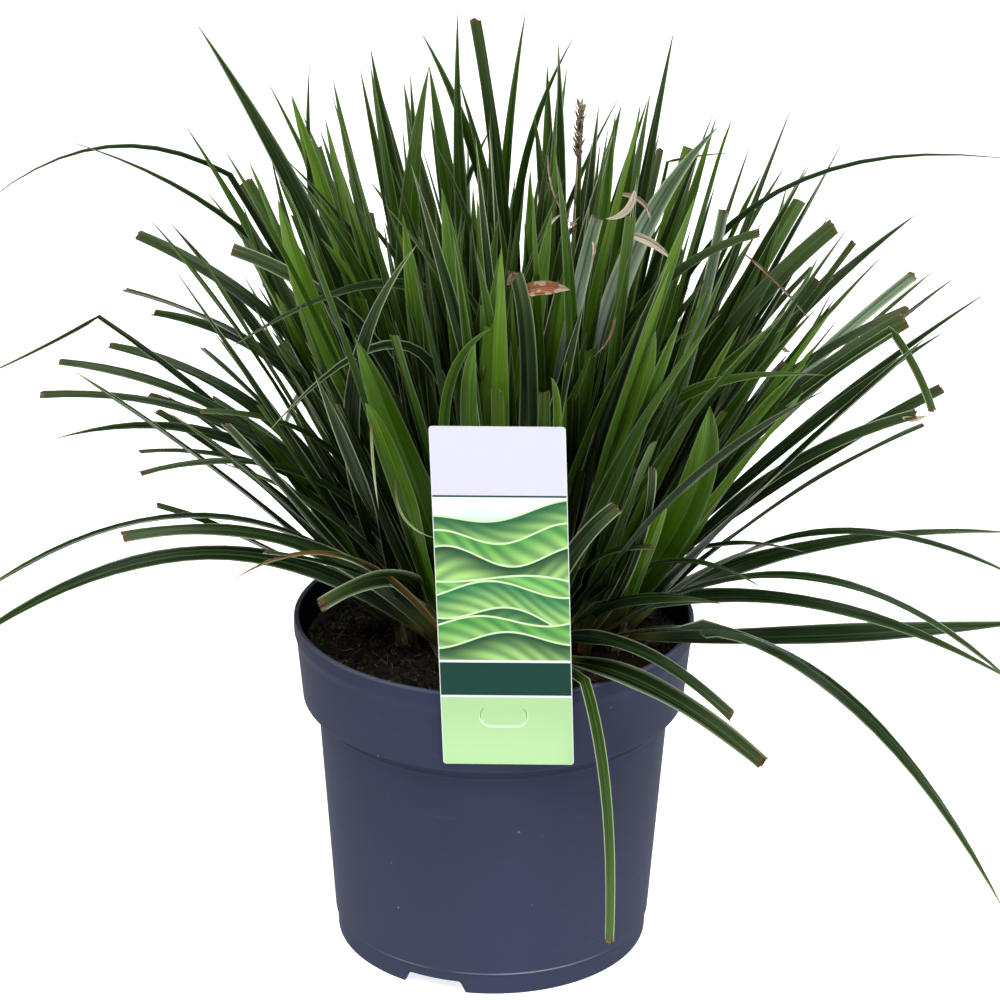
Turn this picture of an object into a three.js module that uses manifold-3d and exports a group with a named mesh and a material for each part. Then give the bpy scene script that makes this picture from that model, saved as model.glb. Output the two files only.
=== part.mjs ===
// A clump of variegated sedge in a nursery pot: one pot, its soil, a printed label on the rim,
// thirty leafy stems and one old flower spike.
// Millimetres, +Z up. The origin is the middle of the pot's base, on the surface it stands on,
// and the front, where the label is, faces -Y.

import * as THREE from 'three';
import { mergeVertices } from 'three/addons/utils/BufferGeometryUtils.js';
import Module from 'manifold-3d';

const wasm = await Module();
wasm.setup();

// ---------------------------------------------------------------- driving dimensions

const gap = 0.35; // clearance between neighbouring solids

const pot = {
  height: 165,
  rimRadius: 95,
  lipDepth: 8.5, // height of the rolled rim
  lipProud: 1.8, // how far the rim stands out of the collar
  wall: 1.8,
  collarBase: 124, // height of the collar's lower edge
  collarBaseRadius: 91,
  bodyTopRadius: 84.2,
  baseRadius: 76.4,
  footHeight: 11,
  footWall: 2.4,
  footInset: 0.9,
  floorUnderside: 7,
  notchWidth: 26,
  notchHeight: 6,
  notchRadius: 2.5,
  notches: [-111, 9, 129], // directions of the water notches, degrees from +X
  drainRing: 48,
  drainRadius: 6,
  drains: 6,
  sides: 32,
};

const soil = {
  top: 152,
  bumps: 1.8, // height of the lumps near the rim
  flatRadius: 72, // the crown stands on an even patch
  lumpRadius: 80,
  holeDepth: 10,
};

const label = {
  width: 59.3,
  height: 170,
  thickness: 0.7,
  cornerRadius: 1.5,
  foot: new THREE.Vector3(7.2, -93.2, 130.2), // middle of its lower edge
  roll: 2.2, // degrees, its head leans to the left
  lean: 5, // degrees, its head stands forward of the rim
  turn: 4, // degrees, its right side stands a little further forward
  tabWidth: 21,
  tabHeight: 10.5,
  tabBase: 20, // height of the hanging tab above the lower edge
  tabOffset: -1.5,
  tabCut: 0.6,
};

const crown = {
  x: 8,
  y: 12,
  radius: 57,
  stems: 30,
  lean: 14, // degrees, lean of the outermost sheaths
  leafLean: 38, // degrees, lean of the outermost stems' leaves
  sheathLength: 9, // how far a stem's sheath stands above the soil
  sheathRadius: 6,
  sheathTopRadius: 5.7,
  sheathSides: 6,
  seed: 20611,
};

const leaf = {
  perStem: 14,
  rootDepth: 3, // how far a leaf is sunk into its sheath
  rootSpread: 4.5, // distance of the outermost roots from the stem's axis
  rootShare: 0.3, // width at the root, as a share of the full width
  swellBy: 0.25, // share of its length over which it reaches its full width
  taperFrom: 0.5, // share of its length from which it narrows again
  cutTaper: 0.22, // how much a trimmed leaf has narrowed at its cut
  keel: 1.25, // depth of the folded midrib below the edges
  shortest: 150,
  longest: 330,
  lyingLength: 0.82, // length of a leaf that lies flat, as a share of an upright one's
  youngLength: 0.62, // length of the youngest leaf, as a share of a grown one's
  narrowest: 5,
  widest: 9.5,
  youngSpread: 2, // degrees between the stem's bearing and its youngest leaf
  oldSpread: 32,
  trimmedUpright: 0.12, // share of the upright leaves whose ends are trimmed
  trimmedLying: 0.72,
  reach: [250, 217], // how far leaves go to the sides, and to the front and back
  tipReach: [246, 205], // how far the ordinary leaves' tips do
  tries: 120, // positions tried for a leaf that would touch a neighbour
  nudge: 0.9, // how much further aside each new try of a long leaf may go
  swing: 12, // degrees that its root may move round the stem with each new try
};

// The air over the front of the pot, where no ordinary leaf hangs: low and high corners
const openAir = [
  [[-48, -400, 100], [56, -62, 335]],
  [[-100, -110, 100], [-12, -34, 203]],
  [[-60, -400, 100], [70, -96, 400]],
];

// The leaves that stand out of the clump, each followed from its root over one point to its tip:
// width, ending, a point on the way, the tip
const longLeaves = [
  // lowest, right
  [8.5, 'point', [134, -124, 195], [218, -214, 119]],
  [10, 'cut', [83, -110, 170], [119, -135, 152]],
  // tall, upper left
  [9.5, 'point', [-85, 40, 341], [-140, 55, 436]],
  [3.5, 'point', [-120, 35, 343], [-201, 25, 388]],
  [7, 'cut', [-93, 40, 284], [-172, 80, 325]],
  [7, 'cut', [-67, 0, 311], [-121, 5, 342]],
  [6.5, 'cut', [-93, 35, 275], [-180, 75, 302]],
  [6, 'cut', [-98, 45, 270], [-167, 90, 284]],
  // spread, left
  [9, 'cut', [-115, 15, 263], [-183, 40, 283]],
  [6.5, 'cut', [-121, 5, 259], [-201, 20, 280]],
  [7.5, 'cut', [-128, -5, 256], [-213, 0, 273]],
  [5.5, 'point', [-142, -20, 264], [-203, -35, 263]],
  [5, 'cut', [-108, -20, 246], [-161, -35, 258]],
  [5, 'cut', [-103, -30, 244], [-157, -55, 256]],
  [3.5, 'point', [-89, -45, 243], [-128, -70, 266]],
  [6, 'point', [-46, -15, 333], [-122, -40, 308]],
  [5, 'point', [-52, -50, 315], [-103, -75, 280]],
  [6, 'cut', [-107, 25, 243], [-166, 60, 253]],
  [6, 'cut', [-89, -30, 267], [-133, -50, 283]],
  // upright, middle
  [9.5, 'point', [-80, -15, 310], [-97, -25, 373]],
  [5, 'point', [-84, 60, 320], [-89, 85, 410]],
  [6.5, 'point', [-50, 70, 337], [-66, 95, 405]],
  [8.5, 'point', [-46, 35, 357], [-59, 45, 428]],
  [5, 'point', [-35, 80, 329], [-42, 105, 400]],
  [11, 'point', [-40, 10, 346], [-31, 15, 426]],
  [7, 'point', [-17, 45, 354], [-19, 60, 442]],
  [5.5, 'point', [-9, 65, 365], [-37, 85, 425]],
  [7, 'cut', [0, 55, 366], [-11, 70, 434]],
  [9.5, 'point', [-18, -48, 325], [-25, -56, 389]],
  [11, 'point', [-1, -52, 295], [2, -58, 364]],
  [5, 'point', [3, 75, 350], [13, 95, 434]],
  [5, 'point', [12, 60, 365], [37, 75, 428]],
  [6.5, 'point', [29, 35, 362], [27, 45, 433]],
  [8, 'point', [24, 70, 337], [23, 90, 409]],
  [3.5, 'point', [31, 55, 337], [57, 75, 397]],
  [8, 'point', [44, 30, 340], [57, 40, 403]],
  [4.5, 'point', [64, 70, 318], [78, 95, 377]],
  // short and bright, at the front
  [11.5, 'point', [-47, -58, 280], [-62, -70, 326]],
  [11.5, 'point', [91, -55, 260], [97, -68, 294]],
  [7, 'point', [64, -55, 292], [70, -66, 329]],
  [8, 'cut', [14, -55, 318], [8, -62, 354]],
  [7.5, 'cut', [35, -35, 328], [44, -45, 374]],
  [6.5, 'point', [56, -45, 303], [75, -60, 359]],
  [7, 'point', [-49, -72, 276], [-57, -88, 302]],
  [5.5, 'point', [-12, -72, 300], [-9, -80, 327]],
  [5.5, 'point', [26, 10, 317], [34, 18, 363]],
  [4.5, 'point', [-25, -25, 327], [-32, -35, 349]],
  [3.5, 'point', [-60, 20, 332], [-70, 30, 382]],
  [3.5, 'point', [-20, -58, 302], [-2, -68, 330]],
  [3, 'point', [72, -30, 301], [93, -45, 324]],
  [4, 'cut', [93, -20, 284], [129, -30, 320]],
  [3, 'point', [28, -70, 290], [24, -80, 311]],
  [4.5, 'cut', [67, -75, 243], [69, -84, 271]],
  [4.5, 'point', [72, -66, 234], [77, -74, 254]],
  // spread, back
  [8, 'point', [40, 130, 290], [70, 213, 262]],
  [7, 'cut', [-50, 120, 285], [-100, 190, 252]],
  [7.5, 'point', [-10, 130, 300], [-40, 211, 285]],
  [6.5, 'cut', [95, 110, 270], [150, 175, 236]],
  [8.5, 'point', [75, 95, 240], [125, 205, 178]],
  [8, 'point', [-65, 100, 235], [-115, 208, 170]],
  [7.5, 'cut', [10, 120, 245], [15, 205, 205]],
  // upper right
  [10.5, 'point', [63, 10, 349], [100, 20, 399]],
  [4, 'point', [140, 35, 368], [248, 30, 379]],
  [5, 'point', [119, 45, 296], [137, 65, 359]],
  [5, 'point', [88, 75, 296], [106, 105, 347]],
  [6, 'cut', [92, 15, 297], [104, 20, 358]],
  [5, 'cut', [71, -25, 333], [116, -40, 366]],
  [9, 'cut', [112, 30, 298], [159, 55, 339]],
  [3, 'point', [130, 55, 298], [163, 85, 341]],
  [5, 'point', [120, 5, 290], [152, 15, 336]],
  [4.5, 'point', [129, -25, 289], [150, -40, 341]],
  [7.5, 'cut', [143, 30, 274], [198, 60, 315]],
  [9.5, 'cut', [127, 0, 265], [189, 10, 309]],
  [6.5, 'cut', [131, 15, 271], [192, 35, 306]],
  [6, 'cut', [135, -30, 252], [189, -45, 283]],
  [6.5, 'point', [85, -50, 291], [143, -75, 311]],
  // drooping, lower left
  [8, 'point', [-151, -60, 236], [-242, -95, 203]],
  [8.5, 'point', [-135, -85, 231], [-240, -135, 197]],
  [7.5, 'cut', [-101, -65, 232], [-163, -90, 241]],
  [3.5, 'point', [-87, -75, 224], [-117, -95, 219]],
  [9.5, 'cut', [-47, -60, 207], [-78, -85, 204]],
  [5.5, 'cut', [-70, -65, 214], [-102, -85, 229]],
  // drooping, lower right
  [8, 'point', [161, -15, 217], [248, -30, 224]],
  [6.5, 'point', [164, -50, 227], [242, -80, 214]],
  [7.5, 'point', [156, -90, 219], [232, -150, 191]],
  [9.5, 'point', [149, -60, 181], [246, -75, 195]],
  [6.5, 'point', [160, -75, 200], [237, -115, 179]],
  [7.5, 'point', [71, -60, 198], [103, -75, 202]],
  [4, 'point', [103, -40, 217], [142, -55, 219]],
  [6, 'point', [89, -55, 209], [121, -75, 214]],
  [6.5, 'cut', [75, -88, 183], [104, -120, 170]],
  [6.5, 'cut', [52, -60, 220], [71, -75, 229]],
  [7.5, 'cut', [43, -66, 232], [56, -76, 247]],
];

// Leaves that are snapped over: width, ending, the place of the fold, a point past it, the tip
const snappedLeaves = [
  [3.5, 'point', [-126, 55, 365], [-174, 40, 383], [-246, 20, 352]],
  [4.5, 'point', [-185, 20, 304], [-207, 10, 294], [-249, 0, 276]],
  [3, 'point', [81, 85, 362], [99, 90, 364], [117, 95, 364]],
  [5, 'cut', [180, -10, 311], [191, -15, 295], [200, -20, 275]],
  [6, 'cut', [12, -20, 330], [23, -25, 333], [34, -30, 337]],
  [7.5, 'cut', [41, -94, 172], [48, -106, 145], [54, -112, 49]],
];

const spike = {
  foot: [28, 35],
  bend: [33, 37, 285],
  tip: [38, 34, 402],
  culmRadius: 0.9,
  headRadius: 2.1,
  headLength: 26,
  scales: 4,
  sides: 6,
};

const colours = {
  pot: 0x454a5d,
  soil: 0x1c1712,
  label: 0xc4e8b0,
  leaf: [0x35491c, 0x2c3d1c, 0x425a24, 0x4b6a1c],
  spike: 0x8a6a42,
};

// ---------------------------------------------------------------- helpers

const up = new THREE.Vector3(0, 0, 1);
const goldenAngle = 137.508;
const longSlot = 100; // the long leaves' draws are numbered from here, past every ordinary leaf's

function vector(triple) {
  return new THREE.Vector3(...triple);
}

function headingOf(degrees) {
  const angle = THREE.MathUtils.degToRad(degrees);
  return new THREE.Vector3(Math.cos(angle), Math.sin(angle), 0);
}

// A closed three.js geometry as a solid
function solidOf(geometry) {
  const bare = new THREE.BufferGeometry();
  bare.setAttribute('position', geometry.getAttribute('position').clone());
  if (geometry.index) {
    bare.setIndex(geometry.index.clone());
  }
  const merged = mergeVertices(bare, 1e-4);
  const vertProperties = new Float32Array(merged.getAttribute('position').array);
  const triVerts = new Uint32Array(merged.index.array);
  return new wasm.Manifold(new wasm.Mesh({ numProp: 3, vertProperties, triVerts }));
}

function geometryOf(solid) {
  const mesh = solid.getMesh();
  const geometry = new THREE.BufferGeometry();
  geometry.setAttribute('position', new THREE.BufferAttribute(new Float32Array(mesh.vertProperties), 3));
  geometry.setIndex(new THREE.BufferAttribute(new Uint32Array(mesh.triVerts), 1));
  geometry.computeVertexNormals();
  return geometry;
}

// The largest body of a solid, without loose scraps and sealed hollows
function mainBody(solid) {
  const bodies = solid.decompose();
  return bodies.reduce((best, body) => (body.volume() > best.volume() ? body : best));
}

function pieceOf(name, solid, colour, roughness) {
  const material = new THREE.MeshStandardMaterial({ color: colour, roughness, metalness: 0 });
  const mesh = new THREE.Mesh(geometryOf(solid), material);
  mesh.name = name;
  return mesh;
}

// A lathe about the vertical axis from [radius, height] points
function turned(profile, sides) {
  const geometry = new THREE.LatheGeometry(profile.map(([r, z]) => new THREE.Vector2(r, z)), sides);
  geometry.rotateX(Math.PI / 2);
  return solidOf(geometry);
}

// An upright round bar of few sides between two points
function barBetween(start, end, startRadius, endRadius, sides) {
  const axis = end.clone().sub(start);
  const corners = [];
  for (let i = 0; i < sides; i += 1) {
    const angle = (2 * Math.PI * i) / sides;
    corners.push(new THREE.Vector2(startRadius * Math.cos(angle), startRadius * Math.sin(angle)));
  }
  const outline = new THREE.Shape(corners);
  const geometry = new THREE.ExtrudeGeometry(outline, { depth: axis.length(), bevelEnabled: false });
  const position = geometry.getAttribute('position');
  const narrowing = endRadius / startRadius;
  for (let i = 0; i < position.count; i += 1) {
    if (position.getZ(i) > 0) {
      position.setXYZ(i, position.getX(i) * narrowing, position.getY(i) * narrowing, position.getZ(i));
    }
  }
  geometry.applyQuaternion(new THREE.Quaternion().setFromUnitVectors(up, axis.normalize()));
  geometry.translate(start.x, start.y, start.z);
  return solidOf(geometry);
}

// ---------------------------------------------------------------- pot

function innerWallRadius(height) {
  const share = (height - pot.footHeight) / (pot.collarBase - pot.footHeight);
  return THREE.MathUtils.lerp(pot.baseRadius, pot.bodyTopRadius, share) - pot.wall;
}

function buildPot() {
  const rim = pot.rimRadius;
  const lipBase = pot.height - pot.lipDepth;
  const collarTop = rim - pot.lipProud;
  const outside = [
    [pot.baseRadius - pot.footInset - 0.4, 0],
    [pot.baseRadius - pot.footInset, pot.footHeight - 0.8],
    [pot.baseRadius, pot.footHeight + 0.4],
    [pot.bodyTopRadius, pot.collarBase - 1],
    [pot.collarBaseRadius, pot.collarBase],
    [collarTop, lipBase - 1.5],
    [rim, lipBase],
    [rim, pot.height - 1],
    [rim - 0.8, pot.height],
  ];
  const inside = [
    [rim - 3, pot.height],
    [collarTop - pot.wall, lipBase - 2],
    [pot.collarBaseRadius - pot.wall, pot.collarBase + 1.5],
    [pot.bodyTopRadius - pot.wall, pot.collarBase - 0.5],
    [pot.baseRadius - pot.wall, pot.footHeight + 1],
    [0, pot.footHeight - 2.2],
  ];
  const underside = [
    [0, pot.floorUnderside],
    [pot.baseRadius - pot.footInset - pot.footWall, pot.floorUnderside],
    [pot.baseRadius - pot.footInset - pot.footWall, 0],
  ];
  const profile = [...underside, ...outside, ...inside];
  let solid = turned(profile, pot.sides);
  for (const direction of pot.notches) {
    solid = solid.subtract(notchCutter(direction));
  }
  for (let i = 0; i < pot.drains; i += 1) {
    const place = headingOf((360 * i) / pot.drains + 30).multiplyScalar(pot.drainRing);
    const low = place.clone().setZ(pot.floorUnderside - 2);
    const high = place.clone().setZ(pot.footHeight + 3);
    solid = solid.subtract(barBetween(low, high, pot.drainRadius, pot.drainRadius, 6));
  }
  return solid;
}

// A round-cornered opening through the foot ring
function notchCutter(direction) {
  const half = pot.notchWidth / 2;
  const top = pot.notchHeight;
  const r = pot.notchRadius;
  const outline = new THREE.Shape();
  outline.moveTo(-half, -1);
  outline.lineTo(half, -1);
  outline.lineTo(half, top - r);
  outline.absarc(half - r, top - r, r, 0, Math.PI / 2, false);
  outline.lineTo(-half + r, top);
  outline.absarc(-half + r, top - r, r, Math.PI / 2, Math.PI, false);
  outline.closePath();
  const depth = 14;
  const geometry = new THREE.ExtrudeGeometry(outline, { depth, bevelEnabled: false, curveSegments: 2 });
  geometry.rotateX(Math.PI / 2);
  geometry.translate(0, depth / 2, 0);
  geometry.rotateZ(THREE.MathUtils.degToRad(direction + 90));
  const place = headingOf(direction).multiplyScalar(pot.baseRadius - pot.footWall);
  geometry.translate(place.x, place.y, 0);
  return solidOf(geometry);
}

// ---------------------------------------------------------------- soil

function soilHeight(x, y) {
  const broad = Math.sin(0.083 * x + 1.3) * Math.cos(0.071 * y - 0.6);
  const fine = Math.sin(0.21 * x - 0.9) * Math.sin(0.19 * y + 2.1);
  return soil.top + soil.bumps * (0.65 * broad + 0.35 * fine);
}

function buildSoil(stems) {
  const topRadius = pot.collarBaseRadius - pot.wall - 2 * gap;
  const shoulder = pot.collarBase - 3;
  const profile = [
    [0, pot.footHeight + 2 * gap],
    [innerWallRadius(pot.footHeight) - 2 * gap, pot.footHeight + 2],
    [innerWallRadius(shoulder) - 2 * gap, shoulder],
    [innerWallRadius(shoulder) - gap, shoulder + 2],
    [topRadius - 1.5, pot.collarBase + 4],
    [topRadius, soil.top - 6],
    [topRadius, soil.top - 1],
    [soil.lumpRadius, soil.top],
    [soil.flatRadius, soil.top],
    [0, soil.top],
  ];
  const points = profile.map(([r, z]) => new THREE.Vector2(r, z));
  const geometry = new THREE.LatheGeometry(points, pot.sides);
  geometry.rotateX(Math.PI / 2);
  const position = geometry.getAttribute('position');
  for (let i = 0; i < position.count; i += 1) {
    const radius = Math.hypot(position.getX(i), position.getY(i));
    if (position.getZ(i) > soil.top - 0.5 && radius > soil.flatRadius + 1) {
      position.setZ(i, soilHeight(position.getX(i), position.getY(i)));
    }
  }
  let solid = solidOf(geometry);
  for (const stem of stems) {
    const floor = stem.foot.clone().addScaledVector(stem.axis, -gap);
    const mouth = stem.foot.clone().addScaledVector(stem.axis, soil.holeDepth * 2);
    const radius = (stem.radius + gap) / Math.cos(Math.PI / crown.sheathSides);
    solid = solid.subtract(barBetween(floor, mouth, radius, radius, crown.sheathSides));
  }
  return solid;
}

// ---------------------------------------------------------------- label

function roundedPlate(width, height, thickness, radius, left, base) {
  const shape = new THREE.Shape();
  shape.moveTo(left + radius, base);
  shape.lineTo(left + width - radius, base);
  shape.absarc(left + width - radius, base + radius, radius, -Math.PI / 2, 0, false);
  shape.lineTo(left + width, base + height - radius);
  shape.absarc(left + width - radius, base + height - radius, radius, 0, Math.PI / 2, false);
  shape.lineTo(left + radius, base + height);
  shape.absarc(left + radius, base + height - radius, radius, Math.PI / 2, Math.PI, false);
  shape.lineTo(left, base + radius);
  shape.absarc(left + radius, base + radius, radius, Math.PI, Math.PI * 1.5, false);
  const geometry = new THREE.ExtrudeGeometry(shape, { depth: thickness, bevelEnabled: false, curveSegments: 2 });
  geometry.rotateX(Math.PI / 2);
  return solidOf(geometry);
}

function buildLabel() {
  let plate = roundedPlate(label.width, label.height, label.thickness, label.cornerRadius, -label.width / 2, 0);
  // the hanging tab is cut round its sides and foot, and stays joined along its head
  const cut = label.tabCut;
  const left = label.tabOffset - label.tabWidth / 2;
  const round = label.tabHeight / 2 - 0.5;
  const around = roundedPlate(label.tabWidth, label.tabHeight, 4, round, left, label.tabBase);
  const tabLeft = left + cut;
  const tabSize = label.tabWidth - 2 * cut;
  const tab = roundedPlate(tabSize, label.tabHeight + 2, 4, round - cut, tabLeft, label.tabBase + cut);
  const slot = around.subtract(tab).translate([0, 2, 0]);
  plate = plate.subtract(slot);
  const geometry = geometryOf(plate);
  geometry.rotateZ(THREE.MathUtils.degToRad(-label.turn));
  geometry.rotateX(THREE.MathUtils.degToRad(label.lean));
  geometry.rotateY(THREE.MathUtils.degToRad(-label.roll));
  geometry.translate(label.foot.x, label.foot.y, label.foot.z);
  return solidOf(geometry);
}

// ---------------------------------------------------------------- stems

// A repeatable row of draws between 0 and 1 for one leaf of one stem
function startDraws(stem, slot, attempt) {
  THREE.MathUtils.seededRandom(crown.seed + stem * 7919 + slot * 104729 + attempt * 1299709);
}

function draw(low, high) {
  return low + (high - low) * THREE.MathUtils.seededRandom();
}

// A direction that leans from the vertical by some degrees
function leaning(azimuth, degrees) {
  const lean = THREE.MathUtils.degToRad(degrees);
  return headingOf(azimuth).multiplyScalar(Math.sin(lean)).setZ(Math.cos(lean));
}

// Stems fill the crown like the seeds of a sunflower, and lean outward with their distance
function placeStems() {
  const stems = [];
  for (let i = 0; i < crown.stems; i += 1) {
    startDraws(i, 0, 0);
    const reach = Math.sqrt((i + 0.5) / crown.stems);
    const azimuth = i * goldenAngle + draw(-3, 3);
    const place = headingOf(azimuth).multiplyScalar(crown.radius * reach + draw(-0.6, 0.6));
    const axis = leaning(azimuth, crown.lean * reach * reach);
    const mouth = new THREE.Vector3(crown.x + place.x, crown.y + place.y, soil.top);
    stems.push({
      number: i,
      reach,
      azimuth,
      axis,
      bearing: leaning(azimuth + draw(-15, 15), crown.leafLean * reach * reach + draw(-3, 3)),
      mouth,
      foot: mouth.clone().addScaledVector(axis, -soil.holeDepth),
      radius: crown.sheathRadius,
      length: crown.sheathLength + draw(-2, 2),
      longLeaves: 0,
    });
  }
  return stems;
}

function sheathOf(stem) {
  const end = stem.mouth.clone().addScaledVector(stem.axis, stem.length);
  return barBetween(stem.foot, end, stem.radius, crown.sheathTopRadius, crown.sheathSides);
}

// ---------------------------------------------------------------- leaves

// The stem that a long leaf grows from: near the side of the crown that the leaf leans to
function stemFor(stems, tip) {
  const aim = new THREE.Vector3(tip.x - crown.x, tip.y - crown.y, 0);
  const climb = Math.max(0, tip.z - soil.top);
  const outward = Math.min(1, (1.25 * aim.length()) / Math.hypot(aim.length(), climb));
  aim.setLength(crown.radius * outward).add(new THREE.Vector3(crown.x, crown.y, soil.top));
  const cost = (stem) => stem.mouth.distanceTo(aim) + 9 * stem.longLeaves;
  const chosen = stems.reduce((best, stem) => (cost(stem) < cost(best) ? stem : best));
  chosen.longLeaves += 1;
  return chosen;
}

// One arc from start to end that passes through a point on the way
function arcThrough(start, via, end) {
  const first = start.distanceTo(via);
  const second = via.distanceTo(end);
  const t = THREE.MathUtils.clamp(first / (first + second), 0.3, 0.7);
  const control = via.clone();
  control.addScaledVector(start, -((1 - t) ** 2));
  control.addScaledVector(end, -(t ** 2));
  control.divideScalar(2 * t * (1 - t));
  return new THREE.QuadraticBezierCurve3(start, control, end);
}

// Long leaves turn their flat side to the front, and the more they lie down, to the sky
function facingOfLong(root, tip) {
  const run = Math.hypot(tip.x - root.x, tip.y - root.y) / root.distanceTo(tip);
  return new THREE.Vector3(0, -(1 - 0.75 * run), 0.3 + 0.7 * run);
}

// The direction square to the stem in which a leaf leaves it
function outwardOf(stem, direction) {
  return direction.clone().addScaledVector(stem.axis, -direction.dot(stem.axis)).normalize();
}

// A place inside the sheath, off its axis
function rootOf(stem, outward, offset) {
  const root = stem.mouth.clone().addScaledVector(stem.axis, stem.length - leaf.rootDepth);
  return root.addScaledVector(outward, offset);
}

// A leaf's inner face looks to its own stem at the root, and to the given side further out
function facingsOf(outward, side) {
  const inward = outward.clone().negate();
  return [inward, inward.dot(side) < 0 ? side.clone().negate() : side];
}

function longLeaf(stem, slot, attempt, [width, ending, via, tip]) {
  startDraws(stem.number, slot, attempt);
  const spread = leaf.nudge * attempt;
  const nudge = () => new THREE.Vector3(draw(-1, 1), draw(-1, 1), draw(-1, 1)).multiplyScalar(spread);
  const swing = THREE.MathUtils.degToRad(leaf.swing * attempt * draw(-1, 1));
  const aim = vector(via).sub(stem.mouth).applyAxisAngle(up, swing);
  const outward = outwardOf(stem, aim);
  const root = rootOf(stem, outward, leaf.rootSpread * draw(0.75, 1));
  const middle = vector(via).add(nudge());
  const end = vector(tip).addScaledVector(nudge(), 0.5);
  return {
    curves: [arcThrough(root, middle, end)],
    facings: facingsOf(outward, facingOfLong(root, end)),
    turn: draw(-0.35, 0.35),
    twist: draw(-0.5, 0.5),
    skew: draw(-0.35, 0.35),
    width,
    ending,
  };
}

function snappedLeaf(stem, slot, attempt, [width, ending, fold, over, tip]) {
  startDraws(stem.number, slot, attempt);
  const spread = leaf.nudge * attempt;
  const nudge = () => new THREE.Vector3(draw(-1, 1), draw(-1, 1), draw(-1, 1)).multiplyScalar(spread);
  const swing = THREE.MathUtils.degToRad(leaf.swing * attempt * draw(-1, 1));
  const aim = vector(fold).sub(stem.mouth).applyAxisAngle(up, swing);
  const outward = outwardOf(stem, aim);
  const root = rootOf(stem, outward, leaf.rootSpread * draw(0.75, 1));
  const shift = nudge();
  const bend = vector(fold).add(shift);
  const middle = root.clone().lerp(bend, 0.5);
  middle.z += 0.06 * root.distanceTo(bend);
  const lower = arcThrough(root, middle, bend);
  const upper = arcThrough(bend, vector(over).add(shift), vector(tip).add(shift));
  return {
    curves: [lower, upper],
    facings: facingsOf(outward, facingOfLong(root, bend)),
    turn: draw(-0.3, 0.3),
    twist: 0,
    skew: 0,
    width,
    ending,
  };
}

// The ordinary leaves wind up their stem, from the old and spreading to the young and upright
function ordinaryLeaf(stem, slot, attempt) {
  startDraws(stem.number, slot, attempt);
  const age = (slot - draw(0, 0.8)) / leaf.perStem;
  const search = attempt / leaf.tries;
  const round = goldenAngle * slot + draw(-15, 15) + 240 * search * draw(-1, 1);
  const heading = headingOf(stem.azimuth + round);
  const backward = (1 - Math.cos(THREE.MathUtils.degToRad(round))) / 2;
  const inner = 1 - 0.75 * stem.reach * backward;
  const opening = leaf.youngSpread + (leaf.oldSpread - leaf.youngSpread) * age * inner + draw(-2, 5);
  const spread = THREE.MathUtils.degToRad(opening * (1 - 0.4 * search));
  const direction = stem.bearing.clone().addScaledVector(heading, Math.tan(spread)).normalize();
  const flat = Math.hypot(direction.x, direction.y);
  const along = new THREE.Vector3(direction.x, direction.y, 0).normalize();
  const full = leaf.longest * THREE.MathUtils.lerp(1, leaf.lyingLength, flat);
  const young = THREE.MathUtils.lerp(leaf.youngLength, 1, Math.min(1, age * 2.2));
  const trimmed = draw(0, 1) < THREE.MathUtils.lerp(leaf.trimmedUpright, leaf.trimmedLying, flat);
  const shortening = trimmed ? draw(0.58, 0.85) : draw(0.8, 1);
  const length = Math.max(leaf.shortest, full * young * shortening * (1 - 0.35 * search));
  const outward = outwardOf(stem, heading);
  const root = rootOf(stem, outward, leaf.rootSpread * Math.sqrt(age));
  const droop = length * (0.03 + flat * draw(0.05, 0.42) * age);
  const control = root.clone().addScaledVector(direction, length * 0.52);
  const tip = root.clone().addScaledVector(direction, length);
  tip.z -= droop;
  tip.addScaledVector(along, droop * 0.35);
  return {
    curves: [new THREE.QuadraticBezierCurve3(root, control, tip)],
    facings: facingsOf(outward, new THREE.Vector3(-0.4 * along.x, -0.4 * along.y, 0.9)),
    turn: draw(-0.5, 0.5),
    twist: draw(-0.8, 0.8),
    skew: draw(-0.35, 0.35),
    width: draw(leaf.narrowest, leaf.widest) * (0.8 + 0.2 * young) * (1 - 0.35 * search),
    ending: trimmed ? 'cut' : 'point',
  };
}

function widthAt(blade, s) {
  const swell = Math.min(1, s / leaf.swellBy);
  const grown = THREE.MathUtils.lerp(leaf.rootShare, 1, swell * (2 - swell));
  const past = Math.max(0, (s - leaf.taperFrom) / (1 - leaf.taperFrom));
  const taper = blade.ending === 'cut' ? 1 - leaf.cutTaper * past : 1 - past ** 1.8;
  return blade.width * grown * taper;
}

// Where a leaf is cut across: few places on a straight leaf, more on a bent one
function stationsOf(blade) {
  const lengths = blade.curves.map((curve) => curve.v0.distanceTo(curve.v2));
  const total = lengths.reduce((sum, length) => sum + length, 0);
  const stations = [];
  let before = 0;
  blade.curves.forEach((curve, index) => {
    const bend = curve.getTangent(0).angleTo(curve.getTangent(1));
    let shares = [0, 0.25, 0.55, 0.82, 1];
    if (bend > 0.75) {
      shares = [0, 0.2, 0.42, 0.64, 0.84, 1];
    } else if (bend < 0.4) {
      shares = [0, 0.3, 0.72, 1];
    }
    if (blade.curves.length > 1) {
      shares = index === 0 ? [0, 0.3, 0.7, 1] : [0.35, 0.7, 1];
    }
    for (const t of shares) {
      stations.push({ curve, t, s: (before + lengths[index] * t) / total });
    }
    before += lengths[index];
  });
  return stations;
}

function frameAt(blade, station) {
  const forward = station.curve.getTangent(station.t);
  const share = THREE.MathUtils.smoothstep(station.s, 0.1, 0.6);
  const above = blade.facings[0].clone().lerp(blade.facings[1], share);
  above.addScaledVector(forward, -above.dot(forward)).normalize();
  above.applyAxisAngle(forward, blade.turn * Math.min(1, station.s / 0.4) + blade.twist * station.s);
  const side = above.clone().cross(forward);
  return { point: station.curve.getPoint(station.t), forward, above, side };
}

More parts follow.
